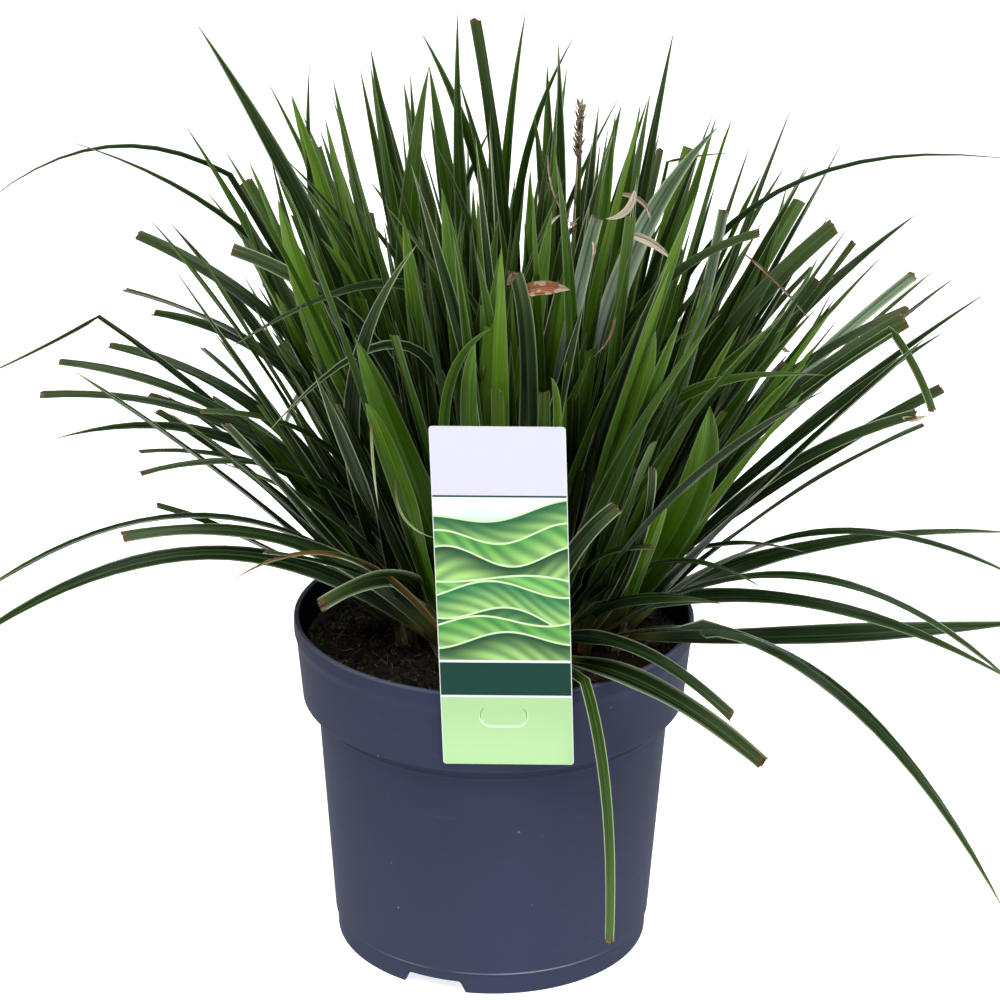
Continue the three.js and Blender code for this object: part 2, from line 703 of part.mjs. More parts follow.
// A leaf is a three-cornered blade: two edges and the keel under its midrib. Each side is split
// along the diagonal that stands out, so that a twisted leaf doesn't cut through itself.
function solidLeaf(blade) {
  const stations = stationsOf(blade);
  const pointed = blade.ending === 'point';
  const rings = pointed ? stations.slice(0, -1) : stations;
  const corners = [];
  for (const station of rings) {
    const { point, forward, above, side } = frameAt(blade, station);
    const half = widthAt(blade, station.s) / 2;
    const slope = pointed || station.s < 1 ? 0 : blade.skew * half;
    corners.push(point.clone().addScaledVector(side, half).addScaledVector(forward, slope));
    corners.push(point.clone().addScaledVector(side, -half).addScaledVector(forward, -slope));
    corners.push(point.clone().addScaledVector(above, -leaf.keel));
  }
  const faces = [[0, 2, 1]];
  const side = new THREE.Plane();
  for (let ring = 0; ring < rings.length - 1; ring += 1) {
    for (let i = 0; i < 3; i += 1) {
      const a = ring * 3 + i;
      const b = ring * 3 + ((i + 1) % 3);
      side.setFromCoplanarPoints(corners[a], corners[b], corners[b + 3]);
      if (side.distanceToPoint(corners[a + 3]) > 0) {
        faces.push([a, b, a + 3], [b, b + 3, a + 3]);
      } else {
        faces.push([a, b, b + 3], [a, b + 3, a + 3]);
      }
    }
  }
  const last = (rings.length - 1) * 3;
  if (pointed) {
    corners.push(frameAt(blade, stations.at(-1)).point);
    for (let i = 0; i < 3; i += 1) {
      faces.push([last + i, last + ((i + 1) % 3), last + 3]);
    }
  } else {
    faces.push([last, last + 1, last + 2]);
  }
  const geometry = new THREE.BufferGeometry().setFromPoints(corners);
  geometry.setIndex(faces.flat());
  return solidOf(geometry);
}

// ---------------------------------------------------------------- keeping leaves apart

function insideBox(point, [low, high]) {
  return point.toArray().every((value, axis) => value > low[axis] && value < high[axis]);
}

function sampledSpine(blade, count) {
  const points = [];
  for (const curve of blade.curves) {
    points.push(...curve.getPoints(count));
  }
  return points;
}

function boxesTouch(a, b, margin) {
  return [0, 1, 2].every((i) => a.min[i] - margin < b.max[i] && b.min[i] - margin < a.max[i]);
}

function isOverPot(point) {
  return point.z < soil.top + 6 && Math.hypot(point.x, point.y) < pot.rimRadius;
}

// A leaf may stand here if it clears the pot, the soil, the label and every other leaf
function isClear(candidate, placed, fixed) {
  const { blade, solid, box, stem } = candidate;
  const spine = sampledSpine(blade, 10);
  const tip = spine.at(-1);
  if (!candidate.long) {
    if (Math.abs(tip.x) > leaf.tipReach[0] || Math.abs(tip.y) > leaf.tipReach[1]) {
      return false;
    }
    if (spine.some((point) => openAir.some((space) => insideBox(point, space)))) {
      return false;
    }
  }
  if (spine.slice(2).some(isOverPot)) {
    return false;
  }
  if (leaf.reach.some((reach, axis) => box.min[axis] < -reach || box.max[axis] > reach)) {
    return false;
  }
  for (const other of [...fixed, ...placed]) {
    if (other.sheath && other.stem === stem) {
      continue;
    }
    const least = other.stem === stem ? gap / 4 : gap;
    if (boxesTouch(box, other.box, gap) && solid.minGap(other.solid, 2 * gap) < least) {
      return false;
    }
  }
  return true;
}

// Where none of the tries is clear, the leaf is left out
function placeLeaf(stem, long, makeBlade, placed, fixed) {
  for (let attempt = 0; attempt < leaf.tries; attempt += 1) {
    const blade = makeBlade(attempt);
    const solid = solidLeaf(blade);
    const candidate = { blade, solid, box: solid.boundingBox(), stem, long };
    if (isClear(candidate, placed, fixed)) {
      placed.push(candidate);
      return;
    }
  }
}

// ---------------------------------------------------------------- flower spike

function pathOfSpike() {
  const foot = new THREE.Vector3(...spike.foot, soil.top - soil.holeDepth);
  return arcThrough(foot, vector(spike.bend), vector(spike.tip));
}

function buildSpike() {
  const path = pathOfSpike();
  const tip = path.v2;
  const section = new THREE.Shape();
  section.absarc(0, 0, spike.culmRadius, 0, Math.PI * 2, false);
  const culm = solidOf(
    new THREE.ExtrudeGeometry(section, { steps: 5, extrudePath: path, curveSegments: 3 }),
  );
  const profile = [[0, -2]];
  for (let i = 0; i < spike.scales; i += 1) {
    const height = (spike.headLength * i) / spike.scales;
    const swell = Math.sin((Math.PI * (i + 0.7)) / (spike.scales + 0.4));
    profile.push([spike.headRadius * (0.55 + 0.45 * swell), height + 2.6]);
    profile.push([spike.headRadius * (0.3 + 0.45 * swell), height + 3.4]);
  }
  profile.push([0, spike.headLength + 3]);
  const points = profile.map(([r, z]) => new THREE.Vector2(r, z));
  const head = new THREE.LatheGeometry(points, spike.sides);
  head.rotateX(Math.PI / 2);
  head.translate(0, 0, -spike.headLength);
  head.applyQuaternion(new THREE.Quaternion().setFromUnitVectors(up, path.getTangent(1)));
  head.translate(tip.x, tip.y, tip.z);
  return mainBody(culm.add(solidOf(head)));
}

// ---------------------------------------------------------------- assembly

function stemName(stem) {
  return `stem_${String(stem.number + 1).padStart(2, '0')}`;
}

function buildPlant() {
  const stems = placeStems();
  const spikePath = pathOfSpike();
  const spikeStem = { foot: spikePath.v0, axis: spikePath.getTangent(0), radius: spike.culmRadius + gap };
  const potSolid = buildPot();
  const labelSolid = buildLabel();
  const spikeSolid = buildSpike();
  const fixed = [potSolid, labelSolid, spikeSolid].map((solid) => ({ solid, box: solid.boundingBox() }));
  for (const stem of stems) {
    const solid = sheathOf(stem);
    fixed.push({ solid, box: solid.boundingBox(), stem, sheath: true });
  }
  const placed = [];
  const chosen = [
    ...longLeaves.map((row) => ({ row, make: longLeaf, aim: row[3] })),
    ...snappedLeaves.map((row) => ({ row, make: snappedLeaf, aim: row[2] })),
  ];
  chosen.forEach(({ row, make, aim }, index) => {
    const stem = stemFor(stems, vector(aim));
    const slot = longSlot + index;
    placeLeaf(stem, true, (attempt) => make(stem, slot, attempt, row), placed, fixed);
  });
  for (let slot = 1; slot <= leaf.perStem; slot += 1) {
    for (const stem of stems) {
      placeLeaf(stem, false, (attempt) => ordinaryLeaf(stem, slot, attempt), placed, fixed);
    }
  }

  const group = new THREE.Group();
  group.add(pieceOf('pot', potSolid, colours.pot, 0.55));
  group.add(pieceOf('soil', buildSoil([...stems, spikeStem]), colours.soil, 0.95));
  group.add(pieceOf('label', labelSolid, colours.label, 0.35));
  group.add(pieceOf('flower_spike', spikeSolid, colours.spike, 0.8));
  for (const stem of stems) {
    const parts = [...fixed, ...placed].filter((part) => part.stem === stem);
    const joined = wasm.Manifold.union(parts.map((part) => part.solid));
    const colour = colours.leaf[stem.number % colours.leaf.length];
    group.add(pieceOf(stemName(stem), mainBody(joined).simplify(0.05), colour, 0.5));
  }
  return group;
}

export default buildPlant();
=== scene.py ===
import math
import random

import bmesh
import bpy
from mathutils import Matrix, Vector, noise
from mathutils.kdtree import KDTree


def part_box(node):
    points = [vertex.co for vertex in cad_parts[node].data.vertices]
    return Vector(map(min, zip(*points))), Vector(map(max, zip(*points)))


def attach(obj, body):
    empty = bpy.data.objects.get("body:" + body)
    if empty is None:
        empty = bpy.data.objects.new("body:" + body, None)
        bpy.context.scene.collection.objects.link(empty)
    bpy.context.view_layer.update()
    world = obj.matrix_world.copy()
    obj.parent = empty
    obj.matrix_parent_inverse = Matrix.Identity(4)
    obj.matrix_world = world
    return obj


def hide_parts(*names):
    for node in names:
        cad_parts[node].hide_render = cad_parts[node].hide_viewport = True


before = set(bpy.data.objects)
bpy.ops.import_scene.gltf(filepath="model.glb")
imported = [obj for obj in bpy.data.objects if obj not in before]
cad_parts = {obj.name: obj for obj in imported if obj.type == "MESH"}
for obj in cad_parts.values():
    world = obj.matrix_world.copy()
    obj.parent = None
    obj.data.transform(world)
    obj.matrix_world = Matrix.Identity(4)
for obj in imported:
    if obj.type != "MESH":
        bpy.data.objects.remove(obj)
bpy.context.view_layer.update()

# The plant is worked out in millimetres and written to its meshes in metres.
mm = 0.001
up = Vector((0, 0, 1))
goldenAngle = 137.508
fullTurn = 2 * math.pi
print("frame:", len(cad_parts), "nodes")


def inScene(name, data):
    made = bpy.data.objects.new(name, data)
    bpy.context.scene.collection.objects.link(made)
    return made


# The camera

shot = {
    "place": (0, -1480, 814),  # millimetres
    "down": 21.814,  # degrees below the horizon
    "yaw": 0.0925,
    "roll": 0.508,
    "lens": 122.4,
    "sees": 60,  # metres
}


def addCamera():
    data = bpy.data.cameras.new("shotCamera")
    data.lens = shot["lens"]
    data.clip_end = shot["sees"]
    camera = inScene("shotCamera", data)
    down, yaw, roll = (math.radians(shot[key]) for key in ("down", "yaw", "roll"))
    ahead = Vector((math.sin(yaw) * math.cos(down), math.cos(yaw) * math.cos(down), -math.sin(down)))
    right = Vector((math.cos(yaw), -math.sin(yaw), 0))
    top = right.cross(ahead)
    rightRolled = right * math.cos(roll) + top * math.sin(roll)
    topRolled = top * math.cos(roll) - right * math.sin(roll)
    turn = Matrix((rightRolled, topRolled, -ahead)).transposed()
    camera.matrix_world = Matrix.Translation(Vector(shot["place"]) * mm) @ turn.to_4x4()
    bpy.context.scene.camera = camera


addCamera()
print("camera in place")


# Materials, as sums on sockets

def srgb(red, green, blue):
    linear = []
    for level in (red, green, blue):
        share = level / 255
        linear.append(share / 12.92 if share <= 0.04045 else ((share + 0.055) / 1.055) ** 2.4)
    return (*linear, 1)


class Link:
    # an output socket that takes part in sums
    def __init__(self, paint, socket):
        self.paint = paint
        self.socket = socket

    def sum(self, operation, first, second=0.0, clamp=False):
        return self.paint.node("Math", {"operation": operation, "use_clamp": clamp}, {0: first, 1: second})

    def __add__(self, other):
        return self.sum("ADD", self, other)

    def __radd__(self, other):
        return self.sum("ADD", other, self)

    def __sub__(self, other):
        return self.sum("SUBTRACT", self, other)

    def __rsub__(self, other):
        return self.sum("SUBTRACT", other, self)

    def __mul__(self, other):
        return self.sum("MULTIPLY", self, other)

    def __rmul__(self, other):
        return self.sum("MULTIPLY", other, self)

    def __truediv__(self, other):
        return self.sum("DIVIDE", self, other)

    def __pow__(self, other):
        return self.sum("POWER", self, other)

    def __abs__(self):
        return self.sum("ABSOLUTE", self)

    def sine(self):
        return self.sum("SINE", self)

    def top(self, other):
        return self.sum("MAXIMUM", self, other)

    def clear(self):
        return self.sum("ADD", self, 0.0, clamp=True)

    # 0 at low, 1 at high, with soft ends; low may be above high
    def rise(self, low, high):
        limits = {1: low, 2: high, 3: 0.0, 4: 1.0}
        return self.paint.node("MapRange", {"interpolation_type": "SMOOTHSTEP"}, {0: self, **limits})

    def parts(self):
        return [self.paint.node("SeparateXYZ", {}, {0: self}, out=i) for i in range(3)]

    def scaled(self, factor):
        return self.paint.node("VectorMath", {"operation": "SCALE"}, {0: self, "Scale": factor})


class Paint:
    # one material and its nodes
    def __init__(self, name):
        self.material = bpy.data.materials.new(name)
        self.material.use_nodes = True
        self.tree = self.material.node_tree
        self.tree.nodes.clear()

    # the node's type, what is set on it, the values or links of its sockets
    def node(self, kind, settings, sockets, out=0):
        made = self.tree.nodes.new("ShaderNode" + kind)
        for name, value in settings.items():
            if name == "stops":
                ramp = made.color_ramp
                while len(ramp.elements) < len(value):
                    ramp.elements.new(0.5)
                for element, (place, colour) in zip(ramp.elements, value):
                    element.position = place
                    element.color = colour
            else:
                setattr(made, name, value)
        for key, value in sockets.items():
            if isinstance(value, Link):
                self.tree.links.new(value.socket, made.inputs[key])
            else:
                made.inputs[key].default_value = value
        return Link(self, made.outputs[out])

    def mix(self, factor, first, second):
        settings = {"data_type": "RGBA", "clamp_factor": True}
        return self.node("Mix", settings, {0: factor, 6: first, 7: second}, out=2)

    def along(self, x, y, z):
        return self.node("CombineXYZ", {}, {0: x, 1: y, 2: z})

    def grain(self, place, size, detail=2.0, rough=0.5):
        sockets = {"Vector": place, "Scale": size, "Detail": detail, "Roughness": rough}
        return self.node("TexNoise", {}, sockets)

    def carried(self, name):
        return self.node("Attribute", {"attribute_name": name}, {}, out=1)

    def object(self):
        return self.node("TexCoord", {}, {}, out=3)

    # reach is the height of the bumps in metres
    def finish(self, colour, roughness, height=None, reach=0.0005, strength=0.5, gloss=0.5, **more):
        sockets = {"Base Color": colour, "Roughness": roughness, "Specular IOR Level": gloss, **more}
        if height is not None:
            bump = {"Height": height, "Distance": reach, "Strength": strength}
            sockets["Normal"] = self.node("Bump", {}, bump)
        shader = self.node("BsdfPrincipled", {}, sockets)
        output = self.tree.nodes.new("ShaderNodeOutputMaterial")
        self.tree.links.new(shader.socket, output.inputs["Surface"])
        return self.material


# Two colours in soft patches, for what is dry and dull
def patchy(name, colours, size, detail, spread, roughness, reach):
    paint = Paint(name)
    tint = paint.grain(paint.object(), size, detail)
    return paint.finish(paint.mix(tint.rise(*spread), *colours), roughness, tint, reach=reach)


# Meshes

class Shape:
    # points in millimetres, faces, and what the materials read at each point
    def __init__(self):
        self.points = []
        self.faces = []
        self.slots = []
        self.values = {}

    def add(self, points, faces, slot=0, **values):
        start = len(self.points)
        self.points.extend(points)
        self.faces.extend(tuple(start + i for i in face) for face in faces)
        self.slots.extend([slot] * len(faces))
        for name, given in values.items():
            held = self.values.setdefault(name, [])
            held.extend([(0, 0, 0)] * (start - len(held)))
            held.extend(given)

    def piece(self, name, materials, sharp=50, unit=mm):
        mesh = bpy.data.meshes.new(name)
        mesh.from_pydata([point * unit for point in self.points], [], self.faces)
        for material in materials:
            mesh.materials.append(material)
        mesh.polygons.foreach_set("material_index", self.slots)
        for key, given in self.values.items():
            given.extend([(0, 0, 0)] * (len(self.points) - len(given)))
            layer = mesh.attributes.new(key, "FLOAT_VECTOR", "POINT")
            layer.data.foreach_set("vector", [level for triple in given for level in triple])
        mesh.polygons.foreach_set("use_smooth", [True] * len(self.faces))
        mesh.set_sharp_from_angle(angle=math.radians(sharp))
        mesh.validate()
        return inScene(name, mesh)


def place(piece, slot, *nodes):
    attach(piece, "root")
    if nodes:
        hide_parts(*nodes)
    return piece


# Cuts a knife's shape out of a piece and takes the knife away
def cutOut(piece, knife):
    mesh = bmesh.new()
    mesh.from_mesh(knife.data)
    bmesh.ops.recalc_face_normals(mesh, faces=mesh.faces)
    mesh.to_mesh(knife.data)
    mesh.free()
    cut = piece.modifiers.new("cut", "BOOLEAN")
    cut.operation = "DIFFERENCE"
    cut.solver = "EXACT"
    cut.object = knife
    bpy.context.view_layer.objects.active = piece
    bpy.ops.object.modifier_apply(modifier="cut")
    bpy.data.objects.remove(knife)


def between(low, high, share):
    return low + (high - low) * share


def polar(radius, angle):
    return radius * math.cos(angle), radius * math.sin(angle)


def headingOf(degrees):
    return Vector((*polar(1, math.radians(degrees)), 0))


# The direction at an angle round an axis, from two directions across it
def around(across, other, angle):
    return across * math.cos(angle) + other * math.sin(angle)


def levelRing(radius, height, sides):
    return [Vector((*polar(radius, fullTurn * i / sides), height)) for i in range(sides)]


# The faces between rings of points that follow each other
def bands(rings, sides, first=0, inward=False):
    faces = []
    for start in range(first, first + (rings - 1) * sides, sides):
        for i in range(sides):
            a, b = start + i, start + (i + 1) % sides
            faces.append([a, a + sides, b + sides, b] if inward else [a, b, b + sides, a + sides])
    return faces


# The same, closed at both ends
def tube(rings, sides):
    last = (rings - 1) * sides
    return [list(range(sides))[::-1], list(range(last, last + sides))] + bands(rings, sides)


# A closed outline of (radius, height) turned about the upright axis, or an open one from axis to axis
def turned(outline, sides):
    points, faces, rings = [], [], []
    for radius, height in outline:
        ring = levelRing(radius, height, sides if radius else 1)
        rings.append([len(points) + i % len(ring) for i in range(sides)])
        points.extend(ring)
    for lower, upper in zip(rings, rings[1:]):
        for i in range(sides):
            j = (i + 1) % sides
            faces.append(list(dict.fromkeys([lower[i], lower[j], upper[j], upper[i]])))
    shape = Shape()
    shape.add(points, faces)
    return shape


# An outline whose inner corners are rounded, each by its own radius: (x, y, radius)
def rounded(corners, steps=5):
    outline = []
    for i, (x, y, radius) in enumerate(corners):
        here = Vector((x, y))
        if radius == 0 or i in (0, len(corners) - 1):
            outline.append((x, y))
            continue
        before = Vector(corners[i - 1][:2]) - here
        after = Vector(corners[i + 1][:2]) - here
        # a curve takes up less than half of each side
        back = min(radius / math.tan(before.angle(after) / 2), 0.49 * before.length, 0.49 * after.length)
        start = here + before.normalized() * back
        end = here + after.normalized() * back
        for step in range(steps + 1):
            t = step / steps
            point = start * (1 - t) ** 2 + here * 2 * t * (1 - t) + end * t ** 2
            outline.append((point.x, point.y))
    return outline


# The pot

potForm = {
    "collarBase": 124,
    "collarBaseRadius": 91,
    "lipDepth": 8.5,
    "lipProud": 1.2,
    "wall": 1.8,
    "bodyTopRadius": 84.2,
    "baseRadius": 76.4,
    "footHeight": 11,
    "footWall": 2.4,
    "footInset": 0.9,
    "floorUnderside": 7,
    "notches": (-111, 9, 129),  # degrees from +X
    "notchWidth": 26,
    "notchHeight": 6,
    "notchRound": 2.5,
    "notchFlare": 5,
    "drainRing": 48,
    "drainRadius": 6,
    "drains": 6,
    "ribHeight": 117.5,  # the faint moulded line below the collar
    "ribProud": 0.22,
    "notchReach": (-12, 6),  # from the base's edge
    "drainReach": (4, 16),  # heights
    "drainTurn": 30,
    "sides": 192,
    "plain": (srgb(45, 49, 68), srgb(49, 54, 75)),
    "low": srgb(60, 66, 89),  # painted light: the pot is painted paler towards its foot
    # the pale colour of rubbed wear and of the painted highlights on rim and foot
    "rubbedAndHighlight": srgb(150, 155, 172),
    "dust": srgb(160, 164, 174),
}
potLow, potHigh = (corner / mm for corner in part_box("pot"))
potHeight = potHigh.z
rimRadius = (potHigh.x - potLow.x) / 2


def potPlastic():
    paint = Paint("potPlastic")
    spot = paint.object()
    x, y, z = spot.parts()
    cloud = paint.grain(spot, 14, 4.0)
    fine = paint.grain(spot, 2600, 2.0)
    scuff = paint.grain(paint.along(x * 60, y * 60, z * 420), 1.0, 3.0).rise(0.62, 0.8)
    specks = paint.node("TexVoronoi", {}, {"Vector": spot, "Scale": 95})
    rare = paint.grain(spot, 31, 1.0).rise(0.56, 0.66)
    dust = specks.rise(0.075, 0.035) * rare
    # the rim's top edge is painted paler, as rubbed wear and as a painted highlight; a painted highlight
    # runs along the foot's edge, brightest towards the front and back (heights in metres)
    footHighlightBand = z.rise(0.0121, 0.0117) * z.rise(0.0108, 0.0112)
    foot = footHighlightBand * cloud.rise(0.35, 0.6) * abs(x).rise(0.06, 0.03)
    edge = (z.rise(0.1635, 0.1648) * 0.2).top(foot * 0.7)
    plain = paint.mix(cloud.rise(0.3, 0.7), *potForm["plain"])
    # painted light and shade: the pot is painted paler towards its foot and darker up under the leaves
    plain = paint.mix(z.rise(0.14, 0.0) * 0.6, plain, potForm["low"])
    # the rubbed scuffs and the painted highlights of rim and foot take the pale colour
    worn = paint.mix((scuff * 0.035).top(edge), plain, potForm["rubbedAndHighlight"])
    colour = paint.mix(dust * 0.4, worn, potForm["dust"])
    rough = 0.58 + cloud * 0.14 + dust * 0.2
    height = fine * 0.35 + cloud * 0.6
    return paint.finish(colour, rough, height, reach=0.0002, strength=0.35, gloss=0.06)


def potOutline():
    form = potForm
    rim, top = rimRadius, potHeight
    lipBase = top - form["lipDepth"]
    collarTop = rim - form["lipProud"]
    footOut = form["baseRadius"] - form["footInset"]
    footIn = footOut - form["footWall"]
    wall = form["wall"]
    rib = form["ribHeight"]
    share = (rib - form["footHeight"]) / (form["collarBase"] - form["footHeight"])
    ribRadius = form["baseRadius"] + share * (form["bodyTopRadius"] - form["baseRadius"])
    return rounded([
        (0, form["floorUnderside"], 0),
        (footIn, form["floorUnderside"], 1.2),
        (footIn, 0, 0.8),
        (footOut - 0.4, 0, 1.0),
        (footOut, form["footHeight"] - 0.8, 0.3),
        (form["baseRadius"], form["footHeight"] + 0.4, 0.9),
        (ribRadius - 0.1, rib - 1.4, 0.8),
        (ribRadius + form["ribProud"], rib, 0.9),
        (ribRadius + 0.1, rib + 1.4, 0.8),
        (form["bodyTopRadius"], form["collarBase"] - 1, 0.9),
        (form["collarBaseRadius"], form["collarBase"], 1.1),
        (collarTop, lipBase - 3, 3.0),
        (rim, lipBase + 1.5, 3.0),
        (rim, top, 1.6),
        (rim - 2.6, top, 1.4),
        (collarTop - wall, lipBase - 2, 2.0),
        (form["collarBaseRadius"] - wall, form["collarBase"] + 1.5, 1.5),
        (form["bodyTopRadius"] - wall, form["collarBase"] - 0.5, 1.5),
        (form["baseRadius"] - wall, form["footHeight"] + 1, 2.0),
        (0, form["footHeight"] - 2.2, 0),
    ])


# A bar with rounded upper corners that runs out through the foot ring
def notchBar(direction):
    form = potForm
    half, flare = form["notchWidth"] / 2, form["notchFlare"]
    top, curve = form["notchHeight"], form["notchRound"]
    outline = rounded([
        (-half - flare, -2, 0),
        (-half - flare / 2, 0.4, curve),
        (-half, top, curve),
        (half, top, curve),
        (half + flare / 2, 0.4, curve),
        (half + flare, -2, 0),
    ])
    depths = [form["baseRadius"] + reach for reach in form["notchReach"]]
    turn = Matrix.Rotation(math.radians(direction), 3, "Z")
    points = [turn @ Vector((depth, x, z)) for depth in depths for x, z in outline]
    return points, tube(2, len(outline))


def addPot():
    form = potForm
    pot = turned(potOutline(), form["sides"]).piece("nurseryPot", [potPlastic()], sharp=40)
    cutters = Shape()
    for direction in form["notches"]:
        cutters.add(*notchBar(direction))
    radius = form["drainRadius"]
    low, high = form["drainReach"]
    hole = turned([(0, low), (radius, low), (radius, high), (0, high)], 28)
    for i in range(form["drains"]):
        middle = headingOf(360 * i / form["drains"] + form["drainTurn"]) * form["drainRing"]
        cutters.add([point + middle for point in hole.points], hole.faces)
    cutOut(pot, cutters.piece("potKnife", []))
    place(pot, "pot_plastic", "pot")


addPot()
print("pot done")


# The soil

soilForm = {
    "top": 152,
    "bumps": 1.8,
    "rings": 70,
    "sides": 220,
    "rough": 2.6,  # height of the fine lumps
    "crumbs": 2200,
    "crumbSize": (0.4, 1.0),
    "largest": 2.0,  # what a rare crumb has more
    "fibres": 300,
    "fibreLength": (3, 11),
    "fibreThick": (0.15, 0.42),
    "fibreBow": 1.6,
    "fibreJoints": 6,
    "moss": 800,
    "mossSize": (0.35, 0.95),
    "mossReach": 0.32,  # how far in from the rim, as a share of the radius
    "seed": 411,
    "peat": (srgb(11, 9, 7), srgb(50, 38, 28)),
    "green": srgb(46, 60, 34),
    "straw": (srgb(50, 37, 24), srgb(120, 92, 60)),
    "cushion": (srgb(34, 50, 22), srgb(86, 108, 44)),
}


def soilHeight(x, y):
    broad = math.sin(0.083 * x + 1.3) * math.cos(0.071 * y - 0.6)
    fine = math.sin(0.21 * x - 0.9) * math.sin(0.19 * y + 2.1)
    lumps = noise.fractal(Vector((x, y, 3)) * 0.11, 0.8, 2.2, 5) * soilForm["rough"]
    return soilForm["top"] + soilForm["bumps"] * (0.65 * broad + 0.35 * fine) + lumps - 0.6


def onSoil(x, y, lift=0):
    return Vector((x, y, soilHeight(x, y) + lift))


def peat():
    paint = Paint("peat")
    spot = paint.object()
    lumps = paint.grain(spot, 260, 5.0, 0.65)
    patch = paint.grain(spot, 38, 3.0)
    dark = paint.mix(lumps.rise(0.36, 0.7), *soilForm["peat"])
    green = paint.grain(spot, 520, 3.0).rise(0.52, 0.66) * patch.rise(0.5, 0.62)
    colour = paint.mix(green * 0.7, dark, soilForm["green"])
    return paint.finish(colour, 0.88 - lumps * 0.2, lumps, reach=0.0016, strength=1.0, gloss=0.2)


# A lump of few faces, pressed out of round
def crumb(chance, centre, size):
    mesh = bmesh.new()
    bmesh.ops.create_icosphere(mesh, subdivisions=1, radius=size)
    turn = Matrix.Rotation(chance.uniform(0, math.pi), 3, (chance.random(), chance.random(), 0.3))
    squeeze = Vector([chance.uniform(0.55, 1.1) for i in range(3)])
    points = []
    for vertex in mesh.verts:
        point = vertex.co * chance.uniform(0.75, 1.15)
        points.append(turn @ (point * squeeze) + centre)
    faces = [[vertex.index for vertex in face.verts] for face in mesh.faces]
    mesh.free()
    return points, faces


# A thin round thread along a row of points
def thread(spine, radiusAt, sides=5):
    points = []
    side = Vector((0.31, 0.52, 0.8))
    for i, here in enumerate(spine):
        ahead = (spine[min(i + 1, len(spine) - 1)] - spine[max(i - 1, 0)]).normalized()
        side = (side - ahead * side.dot(ahead)).normalized()
        other = ahead.cross(side)
        radius = radiusAt(i / (len(spine) - 1))
        for k in range(sides):
            points.append(here + around(side, other, fullTurn * k / sides) * radius)
    return points, tube(len(spine), sides)


# The lumpy top, then down the wall and across the floor, so that the soil is one closed body
def soilBody(edge):
    sides, rings = soilForm["sides"], soilForm["rings"]
    points = [onSoil(0, 0)]
    for ring in range(1, rings + 1):
        radius = edge * (ring / rings) ** 0.8
        points.extend(onSoil(*polar(radius, fullTurn * i / sides)) for i in range(sides))
    wall = potForm["wall"] + 0.5
    lower = [
        (edge, potForm["collarBase"] + 6),
        (potForm["bodyTopRadius"] - wall, potForm["collarBase"] - 3),
        (potForm["baseRadius"] - wall, potForm["footHeight"] + 3),
        (0.6, potForm["footHeight"] + 0.7),
    ]
    for radius, height in lower:
        points.extend(levelRing(radius, height, sides))
    faces = [[0, 1 + i, 1 + (i + 1) % sides] for i in range(sides)]
    faces += bands(rings + len(lower), sides, first=1, inward=True)
    faces.append(list(range(len(points) - sides, len(points)))[::-1])
    return points, faces


# A straw fibre that lies in a low bow on the soil
def strawFibre(chance, edge):
    joints = soilForm["fibreJoints"]
    radius = edge * math.sqrt(chance.uniform(0.15, 0.94))
    here = Vector((*polar(radius, chance.uniform(0, fullTurn)), 0))
    heading = Vector((chance.uniform(-1, 1), chance.uniform(-1, 1), 0)).normalized()
    length = chance.uniform(*soilForm["fibreLength"])
    curl = Matrix.Rotation(chance.uniform(-0.5, 0.5), 3, "Z")
    spine = []
    for k in range(joints + 1):
        here = here + heading * length / joints
        heading.rotate(curl)
        inside = min(1, (edge - 1.5) / max(1, here.xy.length))
        lift = soilForm["fibreBow"] * math.sin(math.pi * k / joints) * chance.uniform(0.2, 1)
        spine.append(onSoil(here.x * inside, here.y * inside, 0.15 + lift))
    thick = chance.uniform(*soilForm["fibreThick"])
    return thread(spine, lambda t: thick * (1 - 0.6 * t))


def addSoil():
    form = soilForm
    chance = random.Random(form["seed"])
    edge = potForm["collarBaseRadius"] - potForm["wall"] - 0.7
    shape = Shape()
    shape.add(*soilBody(edge))
    for i in range(form["crumbs"]):
        radius = edge * math.sqrt(chance.uniform(0.1, 0.98))
        x, y = polar(radius, chance.uniform(0, fullTurn))
        size = chance.uniform(*form["crumbSize"]) + chance.random() ** 6 * form["largest"]
        shape.add(*crumb(chance, onSoil(x, y, size * 0.25), size))
    for i in range(form["fibres"]):
        shape.add(*strawFibre(chance, edge), slot=1)
    for i in range(form["moss"]):
        # the moss keeps to the rim and to a few cushions
        angle = chance.uniform(0, fullTurn)
        x, y = polar(edge * (1 - form["mossReach"] * chance.random() ** 1.6), angle)
        if noise.noise(Vector((x, y, 7)) * 0.045) < -0.05:
            continue
        size = chance.uniform(*form["mossSize"])
        spot = Vector((x * 0.985, y * 0.985, soilHeight(x, y) + size * 0.4))
        shape.add(*crumb(chance, spot, size), slot=2)
    finishes = [
        peat(),
        patchy("strawFibre", form["straw"], 90, 2.0, (0.3, 0.7), 0.78, 0.0003),
        patchy("mossGreen", form["cushion"], 160, 3.0, (0.35, 0.65), 0.8, 0.0005),
    ]
    place(shape.piece("pottingSoil", finishes, sharp=180), "potting_soil", "soil")


addSoil()
print("soil done")


# The label

